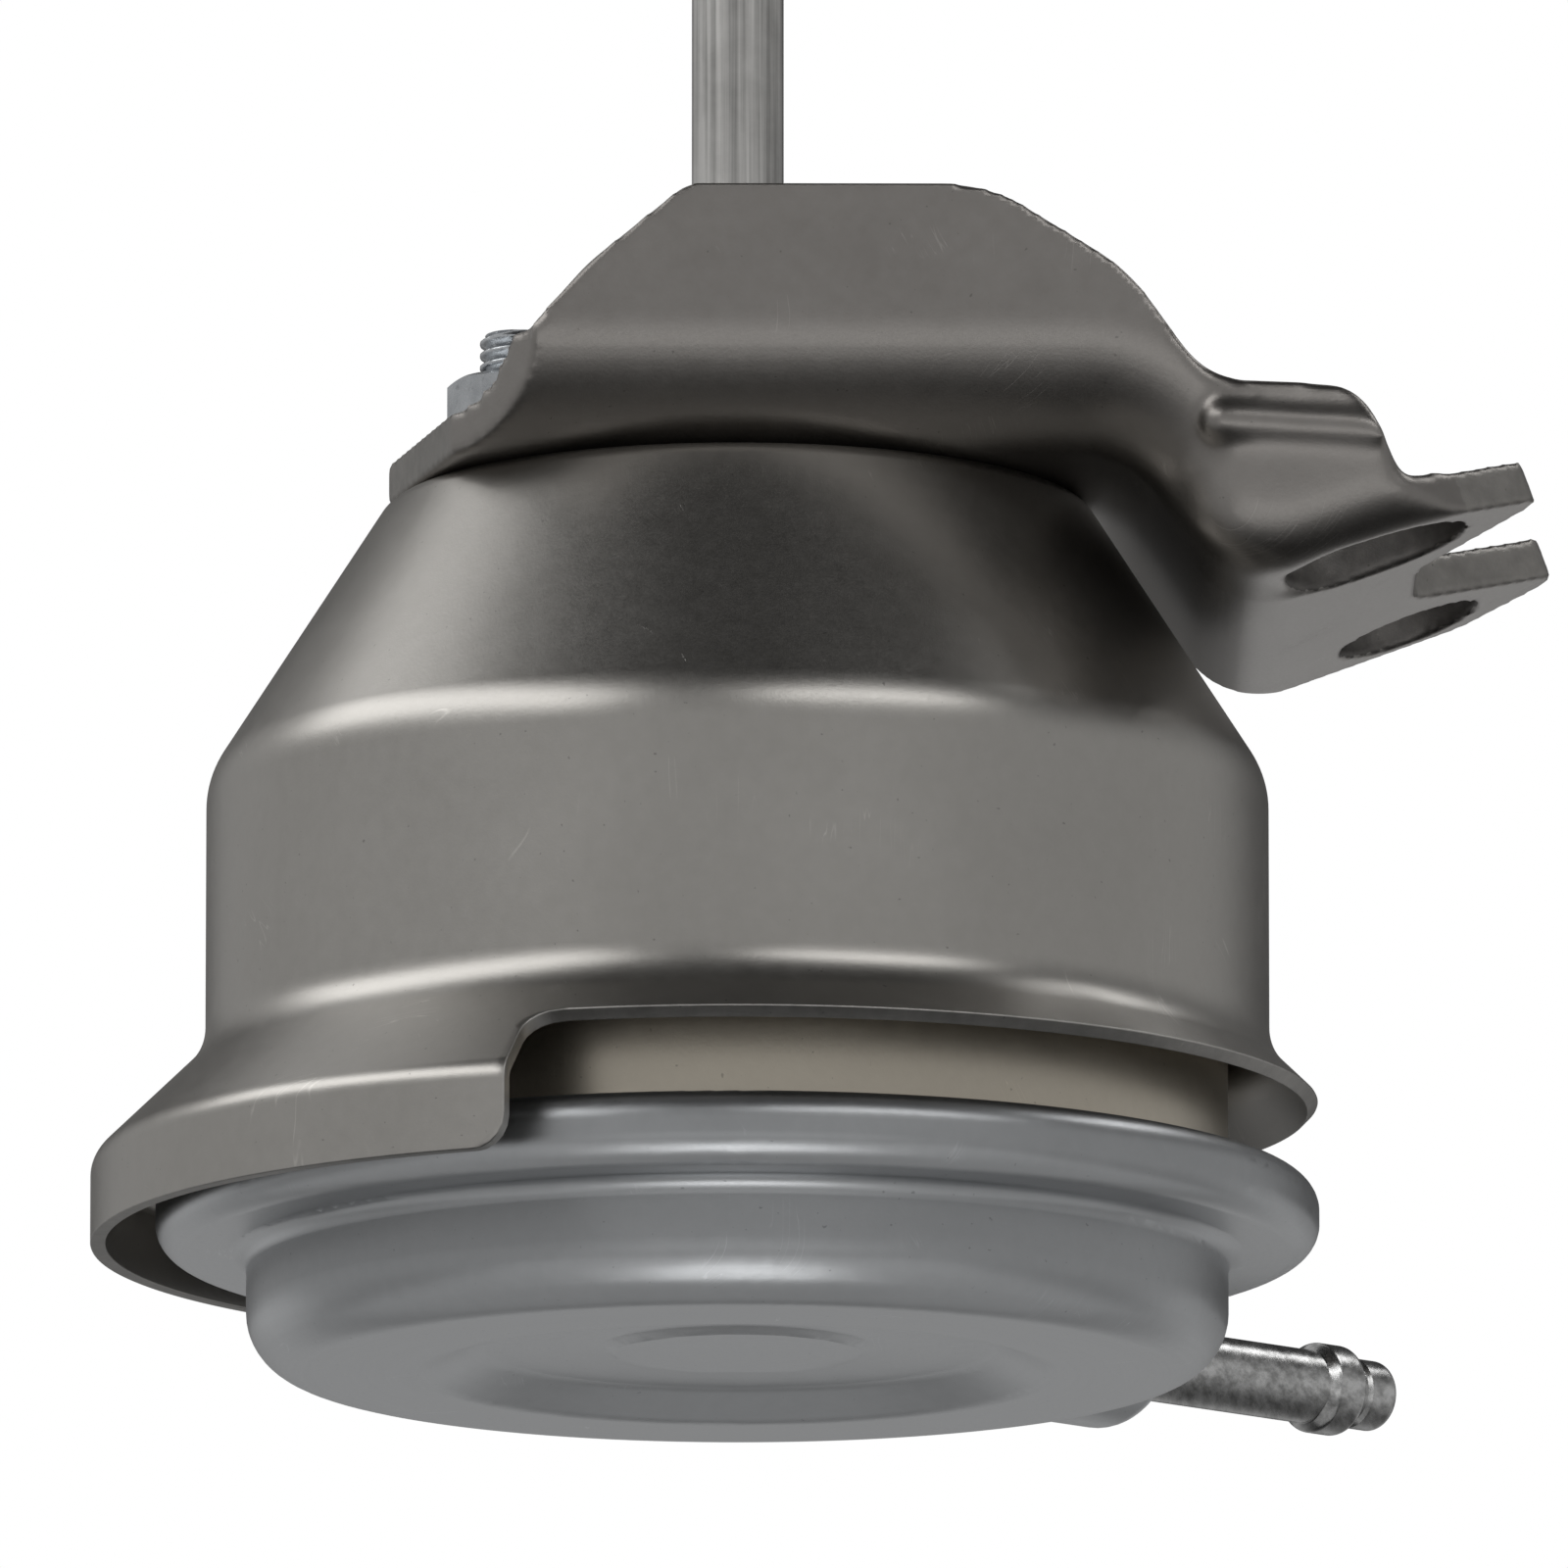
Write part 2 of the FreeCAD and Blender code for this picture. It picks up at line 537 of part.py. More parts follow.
def heat_shield():
    """The hood: flat top, cone, band, flare and skirt, with a window in the skirt."""
    pressing = sheet_piece("shield_pressing", [
        ("shield_centre_hole_radius", "shield_top_height", None),
        ("shield_top_radius", "shield_top_height", "shield_top_round"),
        ("shield_band_radius", "shield_knee_height", "shield_knee_round"),
        ("shield_band_radius", "shield_neck_height", "shield_neck_round"),
        ("skirt_radius", "skirt_shoulder_height", "skirt_shoulder_round"),
        ("skirt_radius", "skirt_edge_height", None),
    ], "shield_sheet", -1)
    drilled(pressing, "shield_stud_holes", stud_holes("stud_radius + stud_hole_play"),
            "shield_top_height", "shield_sheet + cutter_margin")
    section = loose_sketch("window_section", FreeCAD.Rotation(UP, value("window_start_angle")) * TO_FRONT)
    below, beyond = "skirt_edge_height - cutter_margin", "skirt_radius + cutter_margin"
    past_sheet = "(shield_sheet + cutter_margin)"
    near = "window_edge_radius - %s * sin(flare_angle)" % past_sheet
    outline(section, [
        (near, below, None),
        (beyond, below, None),
        (beyond, "window_top_height + cutter_margin * cos(flare_angle)", None),
        ("window_edge_radius + cutter_margin * sin(flare_angle)",
         "window_top_height + cutter_margin * cos(flare_angle)", None),
        (near, "window_top_height - %s * cos(flare_angle)" % past_sheet, None),
    ])
    cutter = doc.addObject("Part::Revolution", "window_cutter")
    cutter.Source = section
    cutter.Axis = UP
    cutter.Solid = True
    sized(cutter, Angle="window_sweep_angle")
    doc.recompute()
    foot = value("skirt_edge_height")

    def upper_corner(edge):
        return is_radial(edge) and abs(edge.Vertexes[0].Z - edge.Vertexes[1].Z) > TINY

    def lower_corner(edge):
        return is_radial(edge) and lies_at(edge, lambda p: abs(p.z - foot) < TINY)

    rounding = "window_corner_round"
    soft = rounded_edges("window_cutter_round", cutter, [(upper_corner, rounding, rounding)])
    windowed = boolean("Cut", "windowed_pressing", pressing, soft)
    doc.recompute()
    return rounded_edges("heat_shield", windowed, [(lower_corner, rounding, rounding)])


def is_radial(edge):
    """A straight edge that points away from the axis."""
    if edge.Curve.TypeId != "Part::GeomLine" or len(edge.Vertexes) < 2:
        return False
    a, b = (vertex.Point for vertex in edge.Vertexes)
    apart = abs(math.hypot(a.x, a.y) - math.hypot(b.x, b.y)) > TINY
    return apart and abs(a.x * b.y - a.y * b.x) < TINY


def upper_can():
    """Spring housing: cone, cylinder and the flange that the crimp holds."""
    can = sheet_piece("upper_can", [
        ("guide_radius", CAN_TOP, None),
        ("can_top_radius", CAN_TOP, "can_top_round"),
        ("can_radius", "can_knee_height", "can_knee_round"),
        ("can_radius", FLANGE_TOP, "can_flange_round"),
        ("can_flange_radius", FLANGE_TOP, None),
    ], "can_sheet", -1)
    drilled(can, "can_stud_holes", stud_holes("stud_radius"), CAN_TOP, "can_sheet + cutter_margin")
    return can


def nipple_turn():
    """Turns a solid from +Z to the nipple's direction."""
    return FreeCAD.Rotation(UP, value("nipple_angle")) * TO_SIDE


def along_nipple(name, radius, start, end, height):
    """A cylinder that points the nipple's way between two distances from the object's axis."""
    solid = doc.addObject("Part::Cylinder", name)
    sized(solid, Radius=radius, Height="(%s) - (%s)" % (end, start))
    place_on_nipple(solid, start, height)
    return solid


def place_on_nipple(solid, start, height):
    solid.Placement = FreeCAD.Placement(V(), nipple_turn())
    solid.setExpression("Placement.Base.x", bound("(%s) * cos(nipple_angle)" % start))
    solid.setExpression("Placement.Base.y", bound("(%s) * sin(nipple_angle)" % start))
    solid.setExpression("Placement.Base.z", bound(height))


def lower_cover():
    """The bowl: recessed bottom, wall, rim crimped over the can's flange, bulge for the nipple."""
    bowl = turned_piece("cover_outside", [
        ("0", "recess_depth - dimple_drop", None),
        ("dimple_radius", "recess_depth - dimple_drop", None),
        ("dimple_radius + dimple_slope", "recess_depth", None),
        ("recess_floor_radius", "recess_depth", "recess_round"),
        ("recess_edge_radius", "0", "recess_round"),
        ("cover_radius", "0", "cover_corner_round"),
        ("cover_radius", "rim_bottom_height", "rim_neck_round"),
        ("rim_radius", "rim_bottom_height", "rim_round"),
        ("rim_radius", RIM_TOP, "rim_round"),
        ("rim_lip_radius", RIM_TOP, None),
        ("0", RIM_TOP, None),
    ])
    reach = "cover_radius + boss_proud"
    bulge = along_nipple("nipple_bulge", "boss_radius", "recess_edge_radius", reach, "boss_radius + boss_lift")
    doc.recompute()
    far = value(reach)

    def bulge_end(edge):
        middle = edge.CenterOfMass
        return abs(math.hypot(middle.x, middle.y) - far) < TINY

    soft_bulge = rounded_edges("nipple_bulge_round", bulge, [(bulge_end, "boss_round", "boss_round")])
    outside = boolean("Fuse", "cover_outside_with_bulge", bowl, soft_bulge)
    inside = turned_piece("cover_inside", [
        ("0", "recess_depth - dimple_drop + cover_sheet", None),
        ("dimple_radius", "recess_depth - dimple_drop + cover_sheet", None),
        ("dimple_radius + dimple_slope", "recess_depth + cover_sheet", None),
        ("recess_floor_radius", "recess_depth + cover_sheet", "recess_round"),
        ("recess_edge_radius", "cover_sheet", "recess_round"),
        ("cover_radius - cover_sheet", "cover_sheet", "cover_corner_round - cover_sheet"),
        ("cover_radius - cover_sheet", CAVITY_FLOOR, "rim_neck_round + cover_sheet"),
        ("can_flange_radius", CAVITY_FLOOR, None),
        ("can_flange_radius", FLANGE_TOP, None),
        ("rim_lip_radius", FLANGE_TOP, None),
        ("rim_lip_radius", RIM_TOP + " + cutter_margin", None),
        ("0", RIM_TOP + " + cutter_margin", None),
    ])
    shell = boolean("Cut", "cover_shell", outside, inside)
    hole = along_nipple("nipple_hole", "nipple_radius", "nipple_start - cutter_margin",
                        reach + " + cutter_margin", "nipple_height")
    return boolean("Cut", "lower_cover", shell, hole)


def hose_nipple():
    """Turned tube with a hose bead, its section drawn along the tube."""
    body = new_body("hose_nipple")
    length = "(nipple_tip - nipple_start)"
    bead_end = length + " - bead_setback"
    bead_start = bead_end + " - bead_width"
    section = outline(new_sketch(body, "nipple_section"), [
        ("nipple_bore_radius", "0", None),
        ("nipple_radius", "0", None),
        ("nipple_radius", bead_start, None),
        ("bead_radius", bead_start + " + bead_slope", "bead_round"),
        ("bead_radius", bead_end + " - bead_slope", "bead_round"),
        ("tip_radius", bead_end, None),
        ("tip_radius", length, "tip_round"),
        ("nipple_bore_radius", length, None),
    ])
    revolved(body, section)
    place_on_nipple(body, "nipple_start", "nipple_height")
    return body


def diaphragm():
    """Rolling rubber diaphragm: flat centre, rolled fold, edge in the crimp."""
    inner = "(can_radius - can_sheet - wall_clearance - rubber - roll_gap)"
    outer = "(can_radius - can_sheet - wall_clearance - rubber)"
    fold = "roll_top_height - rubber"
    flange = "(can_flange_round + can_sheet + wall_clearance + rubber)"
    return sheet_piece("diaphragm", [
        ("foot_radius", "plate_top_height", None),
        (inner, "plate_top_height", "cup_round + piston_clearance + rubber"),
        (inner, fold, "roll_round"),
        (outer, fold, "roll_round"),
        (outer, CAVITY_FLOOR, flange),
        ("can_flange_radius", CAVITY_FLOOR, None),
    ], "rubber", 1)


def piston_cup():
    return sheet_piece("piston_cup", [
        ("foot_radius", RUBBER_TOP, None),
        (CUP_RADIUS, RUBBER_TOP, "cup_round"),
        (CUP_RADIUS, RUBBER_TOP + " + cup_wall_height", None),
    ], "cup_sheet", 1)


def diaphragm_plate():
    """Backing plate: its turned-down rim stops on the cover's floor, air passes its holes."""
    plate = sheet_piece("diaphragm_plate", [
        ("foot_radius", "plate_top_height", None),
        ("plate_radius", "plate_top_height", "plate_round"),
        ("plate_radius", "cover_sheet + rest_clearance", None),
    ], "plate_sheet", -1)
    vent = drilled(plate, "plate_vent", [("plate_vent_circle", "0", "plate_vent_radius")],
                   "plate_top_height", "plate_sheet + cutter_margin")
    vents = plate.newObject("PartDesign::PolarPattern", "plate_vents")
    vents.Originals = [vent]
    vents.Axis = (origin_part(plate, "Z_Axis"), [""])
    vents.Angle = 360
    vents.Occurrences = 4
    plate.Tip = vents
    return plate


def cup_washer():
    return turned_piece("cup_washer", [
        ("foot_radius", CUP_FLOOR, None),
        ("washer_radius - edge_chamfer", CUP_FLOOR, None),
        ("washer_radius", CUP_FLOOR + " + edge_chamfer", None),
        ("washer_radius", SHOULDER, None),
        ("foot_radius", SHOULDER, None),
    ])


def hexagon(sketch, across, along, flats):
    """Six equal sides round a middle, a corner towards +X."""
    reach = "((%s) / 2 / cos(30))" % flats
    corners = []
    for step in range(6):
        lean = 60 * step
        corners.append(("%s + %s * cos(%d)" % (across, reach, lean),
                        "%s + %s * sin(%d)" % (along, reach, lean), None))
    return outline(sketch, corners)


def hex_nut(label, place, flats, height, rest, bore):
    """A nut with a bore and 30 degree chamfers on both ends, its body and its features."""
    across, along = place
    body = new_body(label)
    sketch = new_sketch(body, label + "_hexagon", "XY_Plane", rest)
    hexagon(sketch, across, along, flats)
    circle(sketch, across, along, bore)
    blank = padded(body, sketch, height)
    crown = new_sketch(body, label + "_crowns")
    crown.setExpression("AttachmentOffset.Base.x", bound(across))
    crown.setExpression("AttachmentOffset.Base.z", bound("-(%s)" % along))
    flat = "(%s) / 2" % flats
    past = "(%s) / 2 / cos(30) + edge_chamfer" % flats
    drop = "((%s) - (%s)) * tan(30)" % (past, flat)
    for level, sign in ((rest, "+"), ("%s + %s" % (rest, height), "-")):
        outline(crown, [
            (flat, level, None),
            (past, level, None),
            (past, "%s %s %s" % (level, sign, drop), None),
        ])
    crowned = revolved(body, crown, "PartDesign::Groove", label + "_chamfers")
    return body, [blank, crowned]


def stud_nuts():
    """Two M5 nuts on the studs."""
    body, features = hex_nut("stud_nuts", STUD_PLACES[0], "small_nut_flats", "small_nut_height",
                             BASE_TOP, "stud_radius")
    pair = body.newObject("PartDesign::PolarPattern", "nut_pair")
    pair.Originals = features
    pair.Axis = (origin_part(body, "Z_Axis"), [""])
    pair.Angle = 360
    pair.Occurrences = 2
    body.Tip = pair
    return body


FOLD_X = "(leg_start + leg_drop / tan(leg_angle))"
FOLD_Z = "(shield_top_height - leg_drop)"
EAR_SPAN = "(far_tip_reach + cutter_margin)"


def bracket_block(name, inset, skin, left, top, near, far):
    """The room above the bracket's under side (inset 0) or above its upper side (inset plate).

    Its lower front edge is rounded, wide over the base and tighter over the ear.
    """
    half = "tan(leg_angle / 2)"
    lean = "(1 + cos(leg_angle + ear_angle))"
    fold_x = "(%s + %s * (sin(leg_angle) - sin(ear_angle)) / %s)" % (FOLD_X, inset, lean)
    fold_z = "(%s + %s * (cos(leg_angle) + cos(ear_angle)) / %s)" % (FOLD_Z, inset, lean)
    floor = "shield_top_height + " + inset
    end_x = "%s + %s * cos(ear_angle)" % (fold_x, EAR_SPAN)
    end_z = "%s + %s * sin(ear_angle)" % (fold_z, EAR_SPAN)
    sketch = outline(loose_sketch(name + "_section", TO_FRONT), [
        ("-(%s)" % left, floor, None),
        ("leg_start + %s * %s" % (inset, half), floor, "leg_round + " + inset),
        (fold_x, fold_z, "ear_round - " + inset),
        (end_x, end_z, None),
        (end_x, top, None),
        ("-(%s)" % left, top, None),
    ])
    block = extruded(name, sketch, V(0, 1, 0), far, near)
    doc.recompute()
    front = -value(near)
    ceiling = value(top)
    sides = block.Shape.BoundBox

    def on_lower_front(edge):
        if not lies_at(edge, lambda p: abs(p.y - front) < TINY and p.z < ceiling - TINY):
            return False
        return not lies_at(edge, lambda p: abs(p.x - sides.XMin) < TINY or abs(p.x - sides.XMax) < TINY)

    wide, tight = "flange_round - " + skin, "ear_flange_round - " + skin
    middles = sorted(edge.CenterOfMass.x for edge in block.Shape.Edges if on_lower_front(edge))

    def nth(n):
        return lambda edge: on_lower_front(edge) and abs(edge.CenterOfMass.x - middles[n]) < TINY

    return rounded_edges(name + "_round", block, [
        (nth(0), wide, wide), (nth(1), wide, wide), (nth(2), wide, tight),
        (nth(3), tight, tight), (nth(4), tight, tight)])


def slot(sketch, along, across, length, width):
    """A slot with round ends, its length along the sketch's X."""
    half = value(length) / 2 - value(width) / 2
    radius = value(width) / 2
    middle = V(value(along), value(across), 0)
    right, left, side = middle + V(half, 0, 0), middle - V(half, 0, 0), V(0, radius, 0)
    top = sketch.addGeometry(Part.LineSegment(right + side, left + side))
    low = sketch.addGeometry(Part.LineSegment(left - side, right - side))
    ends = []
    for centre, first, last, sign in ((left, top, low, -1), (right, low, top, 1)):
        bow = V(radius * sign, 0, 0)
        arc = sketch.addGeometry(Part.Arc(centre - side * sign * -1, centre + bow, centre - side * sign))
        start = (sketch.getPoint(arc, 1) - sketch.getPoint(first, 2)).Length < TINY
        constrain(sketch, "Tangent", first, 2, arc, 1 if start else 2)
        constrain(sketch, "Tangent", arc, 2 if start else 1, last, 1)
        pin(sketch, arc, 3, "%s %s (%s - %s) / 2" % (along, "+" if sign > 0 else "-", length, width), across)
        ends.append(arc)
    constrain(sketch, "Radius", ends[0], size="%s / 2" % width)
    constrain(sketch, "Equal", ends[0], ends[1])


def ear_sketch(name):
    """A sketch in the ear's under side: X along the ear from the fold, Y as the object's Y."""
    sketch = loose_sketch(name, FreeCAD.Rotation(V(0, 1, 0), -value("ear_angle")))
    sketch.setExpression("Placement.Base.x", bound(FOLD_X))
    sketch.setExpression("Placement.Base.z", bound(FOLD_Z))
    return sketch


def ear_normal():
    lean = math.radians(value("ear_angle"))
    return V(-math.sin(lean), 0, math.cos(lean))


def bracket():
    """One pressed plate: base, leg and forked ear, with a flange folded up along its front."""
    beyond = "base_left + cutter_margin"
    top = "flange_top_height + cutter_margin"
    outer = bracket_block("bracket_outside", "0", "0", beyond, top, "front", "back")
    inner = bracket_block("bracket_inside", "plate", "plate", beyond + " + plate", top + " + plate",
                          "front - plate", "back + plate")
    tray = boolean("Cut", "bracket_tray", outer, inner)

    ridge = doc.addObject("Part::Cylinder", "flange_ridge")
    sized(ridge, Radius="ridge_radius", Height="flange_end - ridge_start")
    ridge.Placement = FreeCAD.Placement(V(), FreeCAD.Rotation(V(0, 1, 0), 90 + value("ridge_fall")))
    ball = doc.addObject("Part::Sphere", "flange_ridge_end")
    sized(ball, Radius="ridge_radius")
    for solid in (ridge, ball):
        solid.setExpression("Placement.Base.x", bound("ridge_start"))
        solid.setExpression("Placement.Base.y", bound("ridge_radius - ridge_proud - front"))
        solid.setExpression("Placement.Base.z", bound("ridge_height"))
    beaded = boolean("Fuse", "beaded_tray", tray, boolean("Fuse", "ridge_with_end", ridge, ball))

    ear_top = "%s + (flange_end - %s) * tan(ear_angle) + plate / cos(ear_angle) + edge_chamfer" % (FOLD_Z, FOLD_X)
    side = outline(loose_sketch("flange_profile", TO_FRONT), [
        ("-(%s)" % beyond, FOLD_Z + " - leg_drop", None),
        ("flange_end + %s" % EAR_SPAN, FOLD_Z + " - leg_drop", None),
        ("flange_end + %s" % EAR_SPAN, ear_top + " + %s * tan(ear_angle)" % EAR_SPAN, None),
        ("flange_end", ear_top, None),
        ("shoulder_end", "shoulder_height - shoulder_fall", "shoulder_end_round"),
        ("shoulder_start", "shoulder_height", "shoulder_start_round"),
        ("flange_slope_end", "flange_slope_height", "flange_slope_round"),
        ("flange_top_right", "flange_top_height", "flange_top_round"),
        ("-flange_top_left", "flange_top_height", "finger_round"),
        ("-flange_bend_left", "flange_bend_height", "flange_top_round"),
        ("-flange_left", "flange_left_height", None),
        ("-(%s)" % beyond, "flange_left_height", None),
    ])
    side_room = extruded("flange_profile_room", side, V(0, 1, 0), "back + cutter_margin", "front + cutter_margin")
    plan = outline(loose_sketch("bracket_plan", FreeCAD.Rotation()), [
        ("-flange_left", "-front - cutter_margin", None),
        ("flange_end + %s" % EAR_SPAN, "-front - cutter_margin", None),
        ("flange_end + %s" % EAR_SPAN, "back", None),
        ("-base_back_left", "back", "base_back_round"),
        ("-base_left", "-base_tip_offset", "base_tip_round"),
        ("-base_waist", "flange_round - front", None),
        ("-flange_left", "-front + ridge_proud", None),
    ])
    plan_room = extruded("bracket_plan_room", plan, UP, "flange_top_height + cutter_margin")
    profiled = boolean("Common", "profiled_tray", beaded, side_room)
    trimmed = boolean("Common", "trimmed_tray", profiled, plan_room)

    fork = outline(ear_sketch("fork_profile"), [
        ("near_flank_reach", "-front - cutter_margin", None),
        ("near_flank_reach", "-front", None),
        ("near_tip_reach", "-slot_offset", "finger_round"),
        ("notch_reach", "-notch_near", "notch_round"),
        ("notch_reach", "notch_far", "notch_round"),
        ("far_tip_reach", "hole_offset", "finger_round"),
        ("far_flank_reach", "back", "flank_round"),
        ("notch_reach", "back", None),
        ("notch_reach", "back + cutter_margin", None),
        (EAR_SPAN + " + cutter_margin", "back + cutter_margin", None),
        (EAR_SPAN + " + cutter_margin", "-front - cutter_margin", None),
    ])
    fork_room = extruded("fork_room", fork, ear_normal(), "plate + cutter_margin", "cutter_margin")
    forked = boolean("Cut", "forked_tray", trimmed, fork_room)

    holes = ear_sketch("ear_holes")
    slot(holes, "slot_reach", "-slot_offset", "slot_length", "slot_width")
    circle(holes, "hole_reach", "hole_offset", "slot_width / 2")
    ear_drill = extruded("ear_drill", holes, ear_normal(), "plate + cutter_margin", "cutter_margin")
    drilled_ear = boolean("Cut", "drilled_ear", forked, ear_drill)

    rounds = loose_sketch("base_holes", FreeCAD.Rotation())
    rounds.setExpression("Placement.Base.z", bound("shield_top_height"))
    circle(rounds, "0", "0", "bracket_centre_hole_radius")
    for across, along, radius in stud_holes("stud_radius + stud_hole_play"):
        circle(rounds, across, along, radius)
    base_drill = extruded("base_drill", rounds, UP, "plate + cutter_margin", "cutter_margin")
    return boolean("Cut", "bracket", drilled_ear, base_drill)


def stud_pair():
    """Two M5 studs welded in the can's top."""
    body = new_body("fixing_studs")
    sketch = new_sketch(body, "stud_circles", "XY_Plane", CAN_CEILING)
    for across, along in STUD_PLACES:
        circle(sketch, across, along, "stud_radius")
    shaft = padded(body, sketch, BASE_TOP + " + small_nut_height + stud_overhang - " + CAN_CEILING)
    doc.recompute()
    top = shaft.Shape.BoundBox.ZMax
    tops = edges_where(shaft.Shape, lambda e: abs(e.CenterOfMass.z - top) < TINY and len(e.Vertexes) == 1)
    point = body.newObject("PartDesign::Chamfer", "stud_points")
    point.Base = (shaft, ["Edge%d" % i for i in tops])
    sized(point, Size="edge_chamfer")
    return body


def return_spring():
    """Coil spring with ground ends, between the piston cup and the spring seat."""
    path = doc.addObject("Part::Helix", "spring_path")
    free = "(%s - %s)" % (SEAT_FACE, CUP_FLOOR)
    sized(path, Radius="spring_radius", Pitch="%s / spring_turns" % free, Height=free + " + 2 * wire")
    path.setExpression("Placement.Base.z", bound(CUP_FLOOR + " - wire"))
    section = doc.addObject("Part::Circle", "spring_wire")
    sized(section, Radius="wire / 2")
    section.Placement = FreeCAD.Placement(V(), TO_FRONT)
    section.setExpression("Placement.Base.x", bound("spring_radius"))
    section.setExpression("Placement.Base.z", bound(CUP_FLOOR + " - wire"))
    coil = doc.addObject("Part::Sweep", "spring_coil")
    coil.Sections = [section]
    coil.Spine = (path, ["Edge%d" % (i + 1) for i in range(len(path.Shape.Edges))])
    coil.Solid = True
    coil.Frenet = True
    room = doc.addObject("Part::Cylinder", "spring_room")
    sized(room, Radius="spring_radius + wire", Height=free)
    room.setExpression("Placement.Base.z", bound(CUP_FLOOR))
    return boolean("Common", "return_spring", coil, room)


def spring_seat():
    return sheet_piece("spring_seat", [
        ("spring_radius - wire / 2 - seat_play - seat_sheet", SEAT_FACE + " - seat_collar_depth", None),
        ("spring_radius - wire / 2 - seat_play - seat_sheet", CAN_CEILING, "seat_sheet + seat_play"),
        ("seat_radius", CAN_CEILING, None),
    ], "seat_sheet", -1)


def guide_housing():
    """Turned collar: flange under the can's top, tube through shield and bracket, seal pocket."""
    return turned_piece("guide_housing", [
        ("bush_radius", CAN_CEILING + " - guide_flange_thickness", None),
        ("guide_flange_radius", CAN_CEILING + " - guide_flange_thickness", None),
        ("guide_flange_radius", CAN_CEILING, None),
        ("guide_radius", CAN_CEILING, None),
        ("guide_radius", "guide_top_height", "edge_chamfer"),
        ("seal_radius", "guide_top_height", None),
        ("seal_radius", "seal_floor_height", None),
        ("bush_radius", "seal_floor_height", None),
    ])


def guide_bush():
    base = CAN_CEILING + " - guide_flange_thickness"
    return turned_piece("guide_bush", [
        ("rod_radius + running_fit + edge_chamfer", base, None),
        ("bush_radius", base, None),
        ("bush_radius", "bush_top_height", None),
        ("rod_radius + running_fit + edge_chamfer", "bush_top_height", None),
        ("rod_radius + running_fit", "bush_top_height - edge_chamfer", None),
        ("rod_radius + running_fit", base + " + edge_chamfer", None),
    ])


def rod_seal():
    """Lip seal: the lip touches the rod at its top only."""
    top = "seal_floor_height + seal_length"
    return turned_piece("rod_seal", [
        ("rod_radius + running_fit", top, None),
        ("rod_radius + running_fit", top + " - edge_chamfer", None),
        ("rod_radius + retainer_play", "seal_floor_height", None),
        ("seal_radius", "seal_floor_height", None),
        ("seal_radius", top, None),
    ])


def seal_retainer():
    rest = "guide_top_height - retainer_thickness - edge_chamfer"
    return turned_piece("seal_retainer", [
        ("rod_radius + retainer_play", rest, None),
        ("seal_radius", rest, None),
        ("seal_radius", rest + " + retainer_thickness", None),
        ("rod_radius + retainer_play", rest + " + retainer_thickness", None),
    ])


def rod():
    """6 mm rod with a threaded foot for the piston stack and a threaded top for the eye."""
    return turned_piece("rod", [
        ("0", "rod_foot_height", None),
        ("foot_radius - rod_chamfer", "rod_foot_height", None),
        ("foot_radius", "rod_foot_height + rod_chamfer", None),
        ("foot_radius", SHOULDER, None),
        ("rod_radius", SHOULDER, None),
        ("rod_radius", "rod_top_height - rod_chamfer", None),
        ("rod_radius - rod_chamfer", "rod_top_height", None),
        ("0", "rod_top_height", None),
    ])


def rod_end():
    """Eye with a threaded shank, its ring across Y."""
    shank = turned_piece("rod_end_shank", [
        ("rod_radius", "shank_foot_height", None),
        ("shank_radius - edge_chamfer", "shank_foot_height", None),
        ("shank_radius", "shank_foot_height + edge_chamfer", None),
        ("shank_radius", "eye_height", None),
        ("0", "eye_height", None),
        ("0", "rod_top_height", None),
        ("rod_radius", "rod_top_height", None),
    ])
    ring = new_body("rod_end_ring")
    sketch = new_sketch(ring, "eye_circle")
    circle(sketch, "0", "eye_height", "eye_radius")
    padded(ring, sketch, "eye_width", both=True)
    joined = boolean("Fuse", "rod_end_blank", shank, ring)
    bore = doc.addObject("Part::Cylinder", "eye_bore")
    sized(bore, Radius="eye_bush_radius", Height="eye_width + 2 * cutter_margin")
    bore.Placement = FreeCAD.Placement(V(), TO_FRONT)
    bore.setExpression("Placement.Base.y", bound("eye_width / 2 + cutter_margin"))
    bore.setExpression("Placement.Base.z", bound("eye_height"))
    return boolean("Cut", "rod_end", joined, bore)


def eye_bush():
    body = new_body("eye_bush")
    sketch = new_sketch(body, "bush_circles")
    circle(sketch, "0", "eye_height", "eye_bush_radius")
    circle(sketch, "0", "eye_height", "eye_bore_radius")
    padded(body, sketch, "eye_width + 2 * eye_bush_proud", both=True)
    return body


pieces = [
    heat_shield(), upper_can(), lower_cover(), hose_nipple(), diaphragm(), piston_cup(),
    diaphragm_plate(), cup_washer(), stud_pair(), return_spring(), spring_seat(),
    guide_housing(), guide_bush(), rod_seal(), seal_retainer(), rod(), rod_end(), eye_bush(),
    bracket(), stud_nuts(),
    hex_nut("piston_nut", ("0", "0"), "small_nut_flats", "small_nut_height", NUT_REST, "foot_radius")[0],
    hex_nut("lock_nut", ("0", "0"), "lock_nut_flats", "lock_nut_height", "lock_nut_rest", "rod_radius")[0],
]
doc.recompute()

failed = [o.Name for o in doc.Objects if "Invalid" in o.State or "Error" in o.State]
failed += [piece.Label for piece in pieces if piece.Shape.isNull() or not piece.Shape.isValid()]
if failed:
    raise RuntimeError("Not built: " + ", ".join(failed))

os.makedirs("parts", exist_ok=True)
for piece in pieces:
    piece.Shape.exportStep("parts/%s.step" % piece.Label)
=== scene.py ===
"""Looks of the boost pressure control valve: pressed steel shells, bracket, rod and nipple.

Lengths are in millimetres and turned into metres where a mesh is made. The origin is the centre of
the cover's flat ring, +Z runs up the rod, -Y is the bracket's tall flange, +X its forked ear.
"""

import math

import bmesh
import bpy
from mathutils import Matrix, Vector


